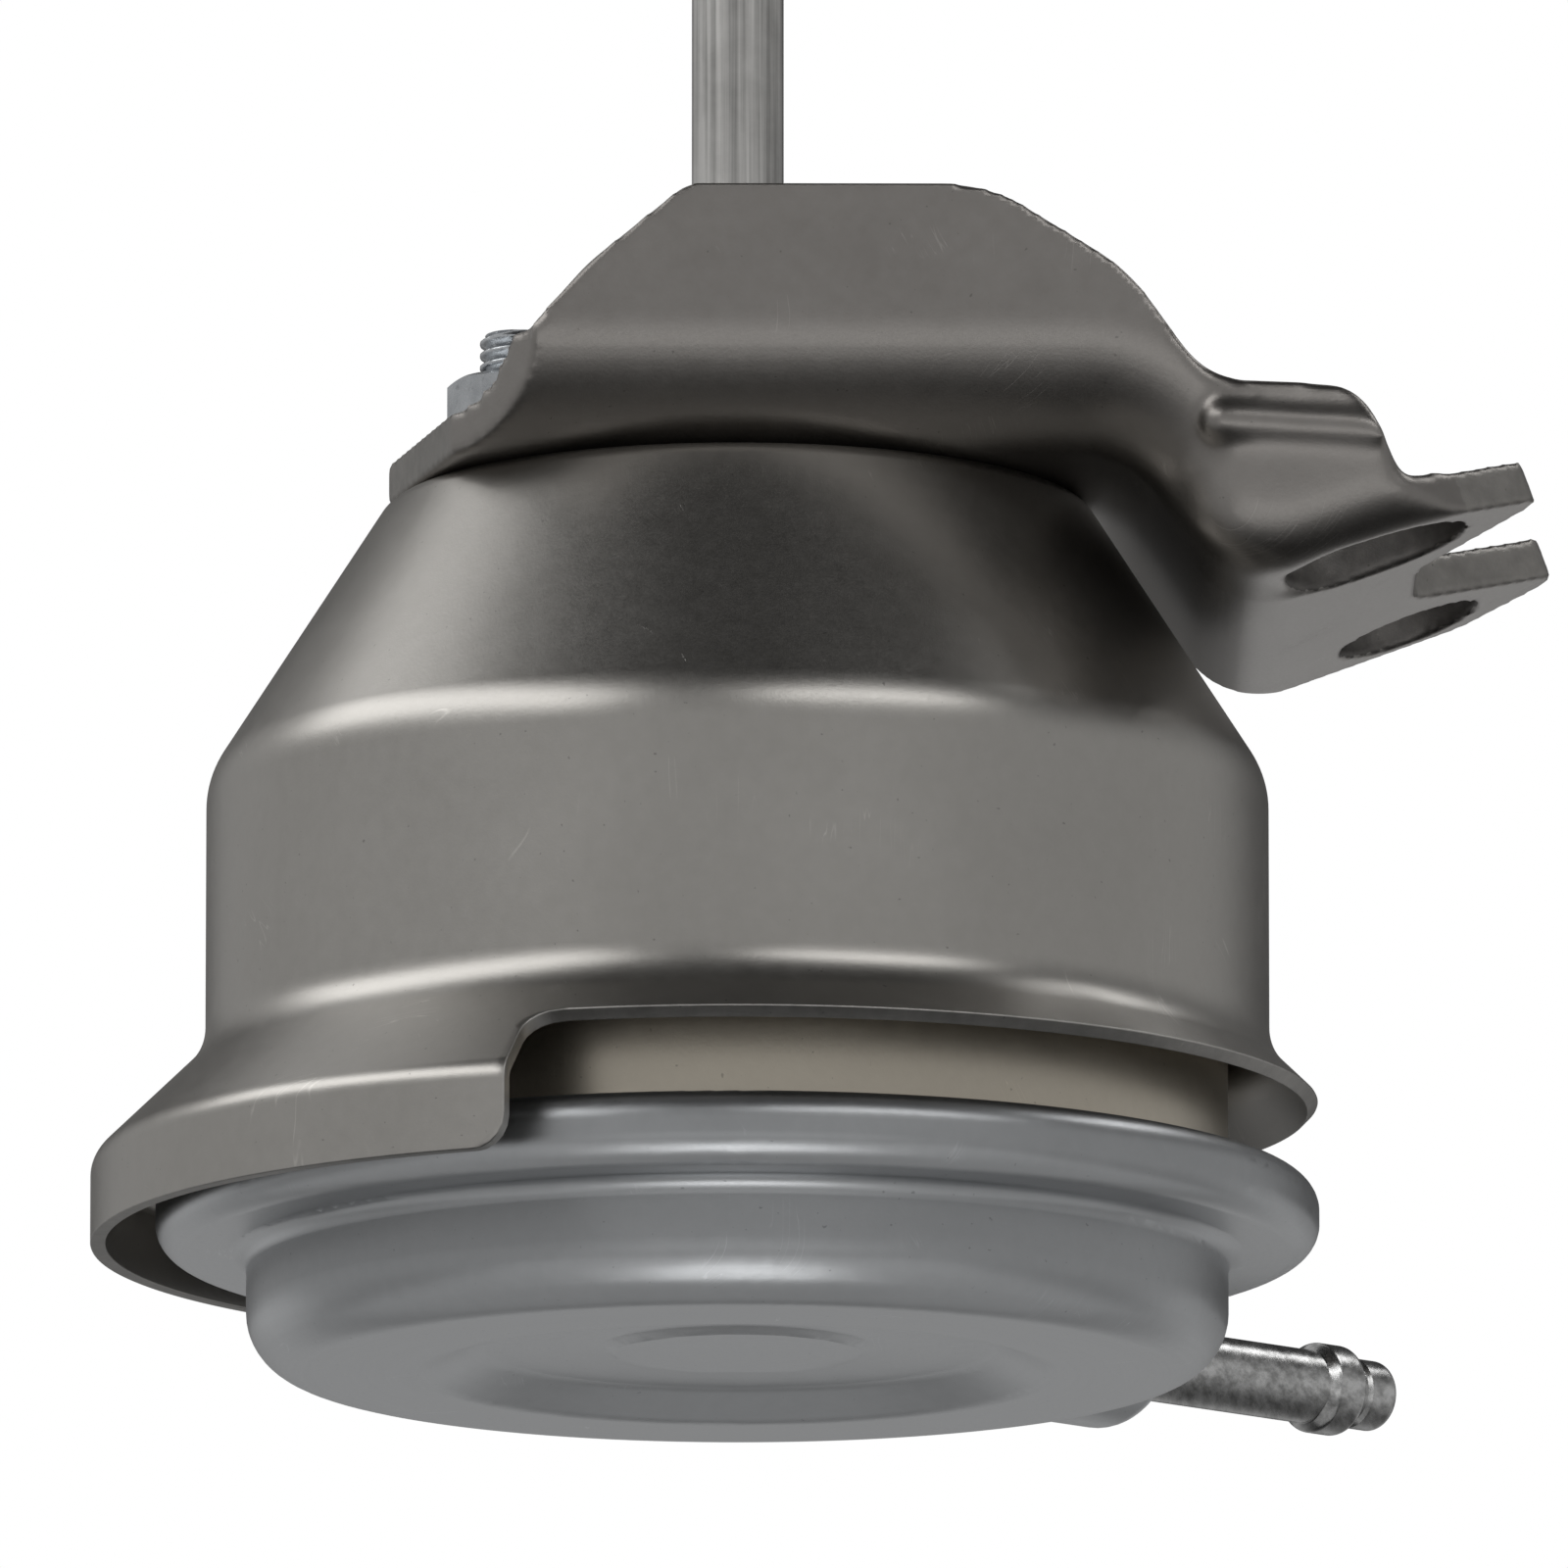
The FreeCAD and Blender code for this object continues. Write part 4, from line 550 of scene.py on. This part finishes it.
def noise(tree, place, size, detail=2.0, rough=0.55, stretch=None):
    """Cloudy pattern from 0 to 1 with spots of a size in millimetres, stretched per axis."""
    if stretch:
        place = vector_step(tree, "MULTIPLY", place, stretch)
    return add_node(tree, "ShaderNodeTexNoise", {
        "Vector": place, "Scale": 1 / size, "Detail": detail, "Roughness": rough}).outputs["Fac"]


def levels(tree, pattern, low, high, start=0.0, end=1.0, soft=False):
    """Spreads the part of a pattern between low and high over start to end, with soft ends or not."""
    return add_node(tree, "ShaderNodeMapRange", {
        "Value": pattern, "From Min": low, "From Max": high, "To Min": start, "To Max": end},
        interpolation_type="SMOOTHSTEP" if soft else "LINEAR").outputs[0]


def with_share(tree, base, pattern, share):
    """A base, number or pattern, with a share of another pattern added."""
    return calc(tree, "MULTIPLY_ADD", pattern, share, base)


def mixture(tree, first, share, second):
    """Two patterns in one: a share of the first, the rest of the second."""
    return with_share(tree, calc(tree, "MULTIPLY", second, 1 - share), first, share)


def blend(tree, share, first, second):
    """Mixes two colours."""
    node = add_node(tree, "ShaderNodeMix", {0: share, 6: first, 7: second}, data_type="RGBA")
    return node.outputs[2]


def marked(tree, colour, pattern, strength, mark, factor):
    """A colour with a pattern of marks on it, each a darker or lighter tone of the mark's colour."""
    toned = [min(1, factor * part) for part in mark[:3]] + [1]
    return blend(tree, calc(tree, "MULTIPLY", pattern, strength), colour, toned)


def lathe_lines(tree, in_mm, fineness, around=1.5):
    """Fine rings of a turned or spun surface, broken up along the turn."""
    across, along, height = parts_of(tree, in_mm)
    flat = joined(tree, across, along, 0.0)
    radius = add_node(tree, "ShaderNodeVectorMath", {0: flat}, operation="LENGTH").outputs["Value"]
    heading = add_node(tree, "ShaderNodeVectorMath", {0: flat}, operation="NORMALIZE").outputs[0]
    raised = joined(tree, 0.0, 0.0, calc(tree, "MULTIPLY", height, fineness))
    spread = vector_step(tree, "ADD", vector_step(tree, "SCALE", heading, around), raised)
    return add_node(tree, "ShaderNodeTexNoise", {
        "Vector": spread, "W": calc(tree, "MULTIPLY", radius, fineness), "Scale": 1.0, "Detail": 3.0,
        "Roughness": 0.6}, noise_dimensions="4D").outputs["Fac"]


def scratches(tree, in_mm, length, density, turn, closeness=2.2, width=0.012, spill=0.04):
    """Thin straight scratches in one direction, a few per square centimetre."""
    turned_place = add_node(tree, "ShaderNodeVectorRotate", {
        "Vector": in_mm, "Rotation": turn}, rotation_type="EULER_XYZ").outputs[0]
    stretch = 1 / length, closeness, 1 / length
    cells = noise(tree, turned_place, size=1.0, detail=1.0, rough=0.4, stretch=stretch)
    line = calc(tree, "ABSOLUTE", calc(tree, "SUBTRACT", cells, 0.5))
    thin = levels(tree, line, 0.0, width, start=1.0, end=0.0)
    picked = levels(tree, noise(tree, in_mm, length), 1 - density, 1 + spill - density)
    return calc(tree, "MULTIPLY", thin, picked, clamp=True)


def open_finish(name, metallic, **constants):
    """A new material with its shader and Object coordinates in millimetres."""
    material = bpy.data.materials.new(name)
    material.use_nodes = True
    tree = material.node_tree
    tree.nodes.clear()
    shader = add_node(tree, "ShaderNodeBsdfPrincipled", {"Metallic": metallic, **constants})
    add_node(tree, "ShaderNodeOutputMaterial", {"Surface": shader.outputs[0]})
    place = add_node(tree, "ShaderNodeTexCoord").outputs["Object"]
    return material, tree, shader, vector_step(tree, "SCALE", place, 1 / MM)


def finish_with(tree, shader, colour, roughness, relief, depth):
    """Wires colour, roughness and relief (in millimetres) to the shader."""
    tree.links.new(colour, shader.inputs["Base Color"])
    tree.links.new(roughness, shader.inputs["Roughness"])
    bump = add_node(tree, "ShaderNodeBump", {"Height": relief, "Strength": 1.0, "Distance": depth * MM})
    tree.links.new(bump.outputs[0], shader.inputs["Normal"])


def pressed_steel(name, light, dark, shine, grain, grain_depth, lines=0.0):
    """Satin sheet steel: grainy drawn skin, cloudy tone, sparse scratches and specks."""
    material, tree, shader, in_mm = open_finish(name, metallic=1.0)
    clouds = noise(tree, in_mm, size=9.0, detail=3.0)
    spots = noise(tree, in_mm, size=1.1, detail=3.0, rough=0.6)
    skin = noise(tree, in_mm, size=grain, detail=2.0, rough=0.65)
    tone = levels(tree, mixture(tree, spots, 0.5, clouds), low=0.35, high=0.65)
    long_marks = scratches(tree, in_mm, length=9.0, density=0.36, turn=(0.0, 0.0, 0.5))
    short_marks = scratches(tree, in_mm, length=6.0, density=0.34, turn=(0.9, 0.3, 1.9))
    marks = calc(tree, "MAXIMUM", long_marks, short_marks)
    specks = levels(tree, noise(tree, in_mm, size=0.4, detail=1.0), low=0.76, high=0.80)
    colour = blend(tree, tone, dark, light)
    colour = marked(tree, colour, specks, strength=0.5, mark=dark, factor=0.4)
    colour = marked(tree, colour, marks, strength=0.5, mark=light, factor=1.5)
    rough = with_share(tree, shine, tone, share=0.03)
    rough = with_share(tree, rough, skin, share=0.10)
    relief = with_share(tree, skin, spots, share=0.3)
    if lines:
        rings = lathe_lines(tree, in_mm, fineness=6.0)
        relief = with_share(tree, relief, rings, share=lines)
        rough = with_share(tree, rough, rings, share=0.06)
    relief = with_share(tree, relief, marks, share=-0.5)
    finish_with(tree, shader, colour, rough, relief, grain_depth)
    return material


def turned_steel(name, light, dark, shine, place_turn=None, depth=0.006):
    """Bright turned steel: fine rings, long wipe marks and faint stains."""
    material, tree, shader, in_mm = open_finish(name, metallic=1.0)
    if place_turn:
        in_mm = add_node(tree, "ShaderNodeVectorRotate", {
            "Vector": in_mm, "Center": (0, 0, NIPPLE_HEIGHT), "Rotation": place_turn},
            rotation_type="EULER_XYZ").outputs[0]
    rings = lathe_lines(tree, in_mm, fineness=9.0)
    coarse = lathe_lines(tree, in_mm, fineness=2.0)
    wipes = noise(tree, in_mm, size=0.6, detail=4.0, rough=0.6, stretch=(1.0, 1.0, 0.012))
    stains = noise(tree, in_mm, size=5.0, detail=4.0, rough=0.6)
    tone = levels(tree, mixture(tree, stains, 0.25, wipes), low=0.38, high=0.60)
    rough = with_share(tree, with_share(tree, shine, wipes, share=0.12), rings, share=0.10)
    relief = with_share(tree, calc(tree, "MULTIPLY", rings, 0.6), wipes, share=1.6)
    relief = with_share(tree, relief, coarse, share=0.4)
    finish_with(tree, shader, blend(tree, tone, dark, light), rough, relief, depth)
    return material


def plated_steel(name, light, dark, shine, crystal=0.28, depth=0.008):
    """Zinc plating: fine crystal skin, cool and warm clouds, rubbed spots."""
    material, tree, shader, in_mm = open_finish(name, metallic=1.0)
    clouds = noise(tree, in_mm, size=2.2, detail=4.0, rough=0.6)
    crystals = add_node(tree, "ShaderNodeTexVoronoi", {"Vector": in_mm, "Scale": 1 / crystal})
    skin = noise(tree, in_mm, size=0.14, detail=2.0, rough=0.6)
    tone = levels(tree, mixture(tree, skin, 0.3, clouds), low=0.35, high=0.65)
    rubbed = levels(tree, noise(tree, in_mm, size=0.8, detail=3.0, rough=0.7), low=0.62, high=0.70)
    colour = marked(tree, blend(tree, tone, dark, light), rubbed, strength=0.5, mark=dark, factor=0.6)
    rough = with_share(tree, shine, clouds, share=0.14)
    rough = with_share(tree, rough, crystals.outputs["Distance"], share=0.10)
    relief = with_share(tree, skin, crystals.outputs["Distance"], share=0.4)
    finish_with(tree, shader, colour, rough, relief, depth)
    return material


def moulded_rubber(name, light, dark, shine, depth):
    """Black rubber: matt skin with bloom and fine pores."""
    material, tree, shader, in_mm = open_finish(name, metallic=0.0, **{"Specular IOR Level": 0.35})
    bloom = noise(tree, in_mm, size=3.0, detail=4.0)
    pores = noise(tree, in_mm, size=0.2, detail=2.0)
    colour = blend(tree, levels(tree, bloom, low=0.4, high=0.7), dark, light)
    finish_with(tree, shader, colour, with_share(tree, shine, pores, share=0.15), pores, depth)
    return material


def sintered_bronze(name, light, dark, oil, shine, depth):
    """Plain bearing bronze: porous grain with oil-dark pores."""
    material, tree, shader, in_mm = open_finish(name, metallic=1.0)
    grain = noise(tree, in_mm, size=0.16, detail=3.0, rough=0.7)
    clouds = noise(tree, in_mm, size=2.5, detail=3.0)
    pores = levels(tree, grain, low=0.42, high=0.34)
    colour = blend(tree, levels(tree, clouds, low=0.35, high=0.65), dark, light)
    colour = marked(tree, colour, pores, strength=0.8, mark=oil, factor=1.0)
    finish_with(tree, shader, colour, with_share(tree, shine, grain, share=0.2), grain, depth)
    return material


SHIELD_STEEL = pressed_steel(
    "shield_steel", light=(0.465, 0.45, 0.425, 1), dark=(0.435, 0.42, 0.395, 1),
    shine=0.28, grain=0.22, grain_depth=0.006)
CAN_STEEL = pressed_steel(
    "can_steel", light=(0.62, 0.57, 0.48, 1), dark=(0.58, 0.53, 0.445, 1),
    shine=0.27, grain=0.22, grain_depth=0.005)
COVER_STEEL = pressed_steel(
    "cover_steel", light=(0.435, 0.445, 0.455, 1), dark=(0.405, 0.415, 0.425, 1),
    shine=0.28, grain=0.22, grain_depth=0.005, lines=0.2)
BRACKET_STEEL = pressed_steel(
    "bracket_steel", light=(0.30, 0.285, 0.27, 1), dark=(0.275, 0.26, 0.245, 1),
    shine=0.32, grain=0.22, grain_depth=0.008)
BARE_EDGE = pressed_steel(
    "bracket_edge", light=(0.36, 0.345, 0.325, 1), dark=(0.27, 0.26, 0.245, 1),
    shine=0.36, grain=0.16, grain_depth=0.014)
# Walls of the bracket's holes: the dark colour is painted shade, standing in for the shadow inside the
# holes
PAINTED_SHADE_HOLE_WALL = pressed_steel(
    "bracket_hole_painted_shade", light=(0.19, 0.18, 0.17, 1), dark=(0.12, 0.115, 0.11, 1),
    shine=0.42, grain=0.16, grain_depth=0.014)
SHEARED_STEEL = pressed_steel(
    "sheared_steel", light=(0.55, 0.535, 0.51, 1), dark=(0.42, 0.41, 0.39, 1),
    shine=0.36, grain=0.16, grain_depth=0.012)
INNER_STEEL = pressed_steel(
    "inner_steel", light=(0.52, 0.52, 0.51, 1), dark=(0.42, 0.42, 0.41, 1),
    shine=0.28, grain=0.25, grain_depth=0.008, lines=0.3)
ROD_STEEL = turned_steel(
    "rod_steel", light=(0.66, 0.65, 0.63, 1), dark=(0.30, 0.295, 0.285, 1), shine=0.22)
NIPPLE_STEEL = turned_steel(
    "nipple_steel", light=(0.72, 0.72, 0.715, 1), dark=(0.36, 0.36, 0.355, 1), shine=0.15,
    place_turn=(math.radians(-90), 0, math.radians(90 - NIPPLE_ANGLE)))
ZINC = plated_steel("zinc_plate", light=(0.62, 0.64, 0.66, 1), dark=(0.46, 0.48, 0.50, 1), shine=0.16)
SPRING_STEEL = plated_steel(
    "spring_steel", light=(0.30, 0.30, 0.31, 1), dark=(0.20, 0.20, 0.21, 1), shine=0.25)
BRONZE = sintered_bronze(
    "bearing_bronze", light=(0.62, 0.44, 0.22, 1), dark=(0.42, 0.27, 0.12, 1),
    oil=(0.10, 0.07, 0.04, 1), shine=0.30, depth=0.015)
RUBBER = moulded_rubber(
    "seal_rubber", light=(0.035, 0.034, 0.033, 1), dark=(0.012, 0.012, 0.013, 1), shine=0.55, depth=0.012)

# Pieces

EAR_NORMAL = Vector((-math.sin(math.radians(EAR_ANGLE)), 0, math.cos(math.radians(EAR_ANGLE))))


def bracket_finish(middle, normal):
    """Picks the finish of a face of the bracket: pressed face, cut edge or wall of a hole, the last with
    painted shade.
    """
    by_hole = any((middle.xy - Vector(hole)).length < HOLE_REACH for hole in (HOLE_PLACE, SLOT_PLACE))
    if by_hole and abs(normal.dot(EAR_NORMAL)) < HOLE_FACING:
        # Hole walls take the finish with painted shade for the shadow in the holes
        return SHADED_HOLE_SIDE
    return CUT_EDGE if is_sheared(middle, normal) else PRESSED_FACE


def is_sheared(middle, normal):
    """Tells the bracket's cut edges from its pressed faces by where a face lies and looks."""
    if middle.y < FLANGE_BACK:
        return abs(normal.y) < FLANGE_FACING and normal.z > FLANGE_LIFT
    if middle.x > EAR_START:
        return abs(normal.dot(EAR_NORMAL)) < EAR_FACING
    if middle.y < ROLL_BACK:
        return False
    if middle.x < LEG_START:
        return abs(normal.z) < BASE_FACING
    return abs(normal.y) > LEG_SIDE_FACING


def ramp(value, *stops):
    """Rises from 0 at the first stop to 1 at the second, and falls from the third to 0 at the fourth."""
    rise = (value - stops[0]) / (stops[1] - stops[0])
    fall = (stops[3] - value) / (stops[3] - stops[2])
    return max(0.0, min(1.0, rise, fall))


def depth_in(zone, place):
    """How far inside a zone with soft limits a place lies, from 0 to 1."""
    return math.prod(ramp(along, *stops) for along, stops in zip(place, zone))


def softness_at(place):
    """How much the press has rounded the plate: most where flange and ear meet, less at the bead."""
    return max(BEAD_SOFTNESS * depth_in(BEAD_ZONE, place), depth_in(ROLL_ZONE, place))


def lean_at(place):
    """How far the flange leans out above the faint crease that crosses it."""
    if place.y > FLANGE_BACK:
        return 0.0
    along = (Vector(CREASE_END) - Vector(CREASE_START)).normalized()
    offset = place.xz - Vector(CREASE_START)
    return CREASE_LEAN * max(0.0, along.x * offset.y - along.y * offset.x)


def pressed_bracket(*finishes):
    """The bracket's plate with a press's soft folds.

    It is an even mesh of the CAD piece, leaned out above its crease and smoothed where it was drawn.
    """
    piece = refined_copy("bracket", "bracket_plate", *finishes)
    add_modifier(piece, "REMESH", "even_mesh", mode="VOXEL", voxel_size=BRACKET_MESH * MM)
    bake_shape(piece)
    group = piece.vertex_groups.new(name="drawn")
    for vertex in piece.data.vertices:
        vertex.co.y -= MM * lean_at(vertex.co / MM)
        softness = softness_at(vertex.co / MM)
        if softness:
            group.add([vertex.index], softness, "REPLACE")
    add_modifier(piece, "SMOOTH", "drawn_folds", factor=SMOOTHING, iterations=DRAWN_PASSES,
                 vertex_group=group.name)
    add_modifier(piece, "SMOOTH", "rolled_edges", factor=SMOOTHING, iterations=EDGE_PASSES)
    bake_shape(piece)
    piece.vertex_groups.clear()
    mesh = piece.data
    mesh.materials.clear()
    for finish in finishes:
        mesh.materials.append(finish)
    for face in mesh.polygons:
        face.use_smooth = True
        face.material_index = bracket_finish(face.center / MM, face.normal)
    return piece


def rod_bar(finish, threads):
    """Actuating rod: shouldered foot, plain bar and threaded top."""
    bar = turned("rod_bar", rounded_path([
        (0.0, FOOT_HEIGHT),
        (FOOT_RADIUS, FOOT_HEIGHT, CHAMFER),
        (FOOT_RADIUS, ROD_SHOULDER),
        (ROD_RADIUS, ROD_SHOULDER),
        (ROD_RADIUS, ROD_THREAD_FOOT),
        (0.0, ROD_THREAD_FOOT),
    ]), finish)
    thread = grown("rod_thread", threads, finish, Radius=ROD_RADIUS, Foot=ROD_THREAD_FOOT, Top=ROD_TOP,
                   Pitch=ROD_PITCH, Depth=THREAD_SHARE * ROD_PITCH, Chamfer=CHAMFER,
                   Rows=ROD_THREAD_ROWS, Place=(0, 0, 0), Count=1, Columns=THREAD_COLUMNS)
    bm = bmesh.new()
    bm.from_mesh(bar.data)
    bm.from_mesh(thread.data)
    bm.to_mesh(bar.data)
    bm.free()
    bpy.data.objects.remove(thread)
    return bar


shield = shield_pressing(SHIELD_STEEL, SHEARED_STEEL)
place_piece(shield, "housing", "heat_shield")
can = can_pressing(CAN_STEEL, SHEARED_STEEL)
place_piece(can, "housing", "upper_can")
cover = refined_copy("lower_cover", "cover_pressing", COVER_STEEL)
place_piece(cover, "housing", "lower_cover")
nipple = nipple_tube(NIPPLE_STEEL)
place_piece(nipple, "housing", "hose_nipple")
bracket = pressed_bracket(BRACKET_STEEL, BARE_EDGE, PAINTED_SHADE_HOLE_WALL)
place_piece(bracket, "housing", "bracket")

threaded_bar, hexagon_nut = threaded_bar_tree(), hex_nut_tree()
studs = grown("threaded_studs", threaded_bar, ZINC, Radius=STUD_RADIUS, Foot=STUD_FOOT, Top=STUD_TOP,
              Pitch=STUD_PITCH, Depth=THREAD_SHARE * STUD_PITCH, Chamfer=CHAMFER, Rows=STUD_ROWS,
              Place=(*STUD_PLACE, 0), Count=2, Columns=THREAD_COLUMNS)
place_piece(studs, "housing", "fixing_studs")
small_nuts = grown("small_nuts", hexagon_nut, ZINC, Bore=STUD_RADIUS, Flats=SMALL_FLATS,
                   Rest=SMALL_NUT_REST, Height=SMALL_NUT_HEIGHT, Chamfer=CHAMFER,
                   Place=(*STUD_PLACE, 0), Count=2, Columns=NUT_COLUMNS)
place_piece(small_nuts, "housing", "stud_nuts")
lock_nut = grown("rod_lock_nut", hexagon_nut, ZINC, Bore=ROD_RADIUS, Flats=LOCK_FLATS,
                 Rest=LOCK_NUT_REST, Height=LOCK_NUT_HEIGHT, Chamfer=CHAMFER,
                 Place=(0, 0, 0), Count=1, Columns=NUT_COLUMNS)
place_piece(lock_nut, "rod_assembly", "lock_nut")
rod = rod_bar(ROD_STEEL, threaded_bar)
place_piece(rod, "rod_assembly", "rod")

for node, name, finish, body, slot in (
        ("rod_end", "rod_eye", ZINC, "rod_assembly", "rod_end"),
        ("eye_bush", "eye_bushing", BRONZE, "rod_assembly", "bronze"),
        ("guide_housing", "guide_collar", ROD_STEEL, "housing", "bright_steel"),
        ("guide_bush", "guide_bearing", BRONZE, "housing", "bronze"),
        ("seal_retainer", "seal_washer", ZINC, "housing", "zinc"),
        ("rod_seal", "rod_seal_ring", RUBBER, "housing", "rubber")):
    place_piece(refined_copy(node, name, finish), body, node)

for node, finish in (("diaphragm", RUBBER), ("piston_cup", INNER_STEEL), ("diaphragm_plate", INNER_STEEL),
                     ("cup_washer", ZINC), ("piston_nut", ZINC), ("spring_seat", INNER_STEEL)):
    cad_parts[node].data.materials.clear()
    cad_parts[node].data.materials.append(finish)

# The coil spring: a merged copy of the CAD piece, its placement baked into the mesh and joined to no body
coil_spring = refined_copy("return_spring", "coil_spring", SPRING_STEEL)
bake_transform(coil_spring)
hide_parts("return_spring")

# Camera
camera = bpy.data.objects.new("camera", bpy.data.cameras.new("camera"))
camera.data.sensor_width = SENSOR_WIDTH
camera.data.lens = LENS
camera.data.clip_start, camera.data.clip_end = NEAREST, FARTHEST
look_up = math.radians(LOOK_UP)
toward = Vector((0, math.cos(look_up), math.sin(look_up)))
camera.location = TARGET - toward * CAMERA_DISTANCE
camera.rotation_euler = (math.radians(90) + look_up, 0, 0)
bpy.context.scene.collection.objects.link(camera)
bpy.context.scene.camera = camera

# Floor, well below the camera
floor_grid = bmesh.new()
bmesh.ops.create_grid(floor_grid, x_segments=1, y_segments=1, size=FLOOR_REACH / MM)
floor_grid.transform(Matrix.Translation((0, 0, FLOOR_HEIGHT / MM)))
floor_paint, floor_tree, floor_shader, floor_mm = open_finish("pale_floor", metallic=0.0, **{
    "Roughness": FLOOR_ROUGHNESS, "Emission Color": WHITE, "Emission Strength": FLOOR_GLOW})
pale = blend(floor_tree, noise(floor_tree, floor_mm, FLOOR_CLOUDS), FLOOR_GREY, FLOOR_WHITE)
floor_tree.links.new(pale, floor_shader.inputs["Base Color"])
floor = piece_from(floor_grid, "floor", [floor_paint])
floor.visible_glossy = False


def soft_box(name, azimuth, elevation, width, height, brightness, distance=BOX_DISTANCE, lit=()):
    """A soft light seen from the object at an azimuth from the camera's side, right positive.

    Its width and height are angles as seen from the object. It lights all pieces, or only those given.
    """
    lamp = bpy.data.lights.new(name, "AREA")
    lamp.shape = "RECTANGLE"
    turn, lift = math.radians(azimuth), math.radians(elevation)
    lamp.size = 2 * distance * math.tan(math.radians(width) / 2)
    lamp.size_y = 2 * distance * math.tan(math.radians(height) / 2)
    lamp.energy = brightness * math.pi * lamp.size * lamp.size_y
    box = bpy.data.objects.new(name, lamp)
    direction = Vector((
        math.sin(turn) * math.cos(lift), -math.cos(turn) * math.cos(lift), math.sin(lift)))
    box.location = TARGET + direction * distance
    box.rotation_euler = direction.to_track_quat("Z", "Y").to_euler()
    bpy.context.scene.collection.objects.link(box)
    if lit:
        only = bpy.data.collections.new(name + "_lights")
        for piece in lit:
            only.objects.link(piece)
        box.light_linking.receiver_collection = only


soft_box("left_box", azimuth=-74, elevation=40, width=74, height=23, brightness=2.05)
soft_box("right_box", azimuth=31, elevation=38, width=40, height=12, brightness=2.8)
soft_box("side_box", azimuth=112, elevation=48, width=28, height=12, brightness=2.8)
soft_box("back_box", azimuth=-146, elevation=52, width=56, height=28, brightness=0.5)
soft_box("front_box", azimuth=0, elevation=-11, width=64, height=16, brightness=0.3,
         distance=FAR_BOX_DISTANCE)
soft_box("fold_fill", azimuth=0, elevation=-17, width=70, height=16, brightness=0.6,
         distance=FAR_BOX_DISTANCE, lit=(bracket,))
soft_box("under_box", azimuth=0, elevation=-58, width=26, height=24, brightness=2.2, lit=(cover,))
soft_box("cover_fill", azimuth=0, elevation=-82, width=110, height=100, brightness=0.38, lit=(cover,))
soft_box("nipple_fill", azimuth=0, elevation=-70, width=60, height=50, brightness=0.28, lit=(nipple,))
soft_box("nipple_top", azimuth=-20, elevation=30, width=60, height=20, brightness=1.6, lit=(nipple,))
soft_box("recess_fill", azimuth=180, elevation=-16, width=110, height=34, brightness=0.26, lit=(cover,))
soft_box("ear_fill", azimuth=165, elevation=-13, width=34, height=18, brightness=0.52, lit=(bracket,))

# Room: grey walls, a dark ceiling, and white where the camera looks past the part
world = bpy.data.worlds.new("studio")
bpy.context.scene.world = world
world.use_nodes = True
room = world.node_tree
room.nodes.clear()
aside, depth, lift = parts_of(room, add_node(room, "ShaderNodeTexCoord").outputs["Generated"])
ceiling = levels(room, lift, low=0.25, high=0.75, start=0.42, end=0.015, soft=True)
ground = levels(room, lift, low=-0.98, high=-0.12, start=0.05, soft=True)
rear = levels(room, depth, low=0.55, high=0.9, end=0.86, soft=True)
right = levels(room, aside, low=-0.55, high=-0.3, soft=True)
raised = levels(room, lift, low=-0.3, high=-0.1, soft=True)
shade = calc(room, "MULTIPLY", right, calc(room, "MULTIPLY", rear, raised))
rear_wall = calc(room, "SUBTRACT", 1.0, shade)
strength = calc(room, "MULTIPLY", rear_wall, calc(room, "MULTIPLY", ceiling, ground))
walls = add_node(room, "ShaderNodeBackground", {"Color": WHITE, "Strength": strength})
backdrop = add_node(room, "ShaderNodeBackground", {"Color": WHITE, "Strength": 1.0})
seen = add_node(room, "ShaderNodeLightPath").outputs["Is Camera Ray"]
mixed = add_node(room, "ShaderNodeMixShader", {0: seen, 1: walls.outputs[0], 2: backdrop.outputs[0]})
add_node(room, "ShaderNodeOutputWorld", {"Surface": mixed.outputs[0]})
bpy.context.scene.view_settings.view_transform = "Standard"
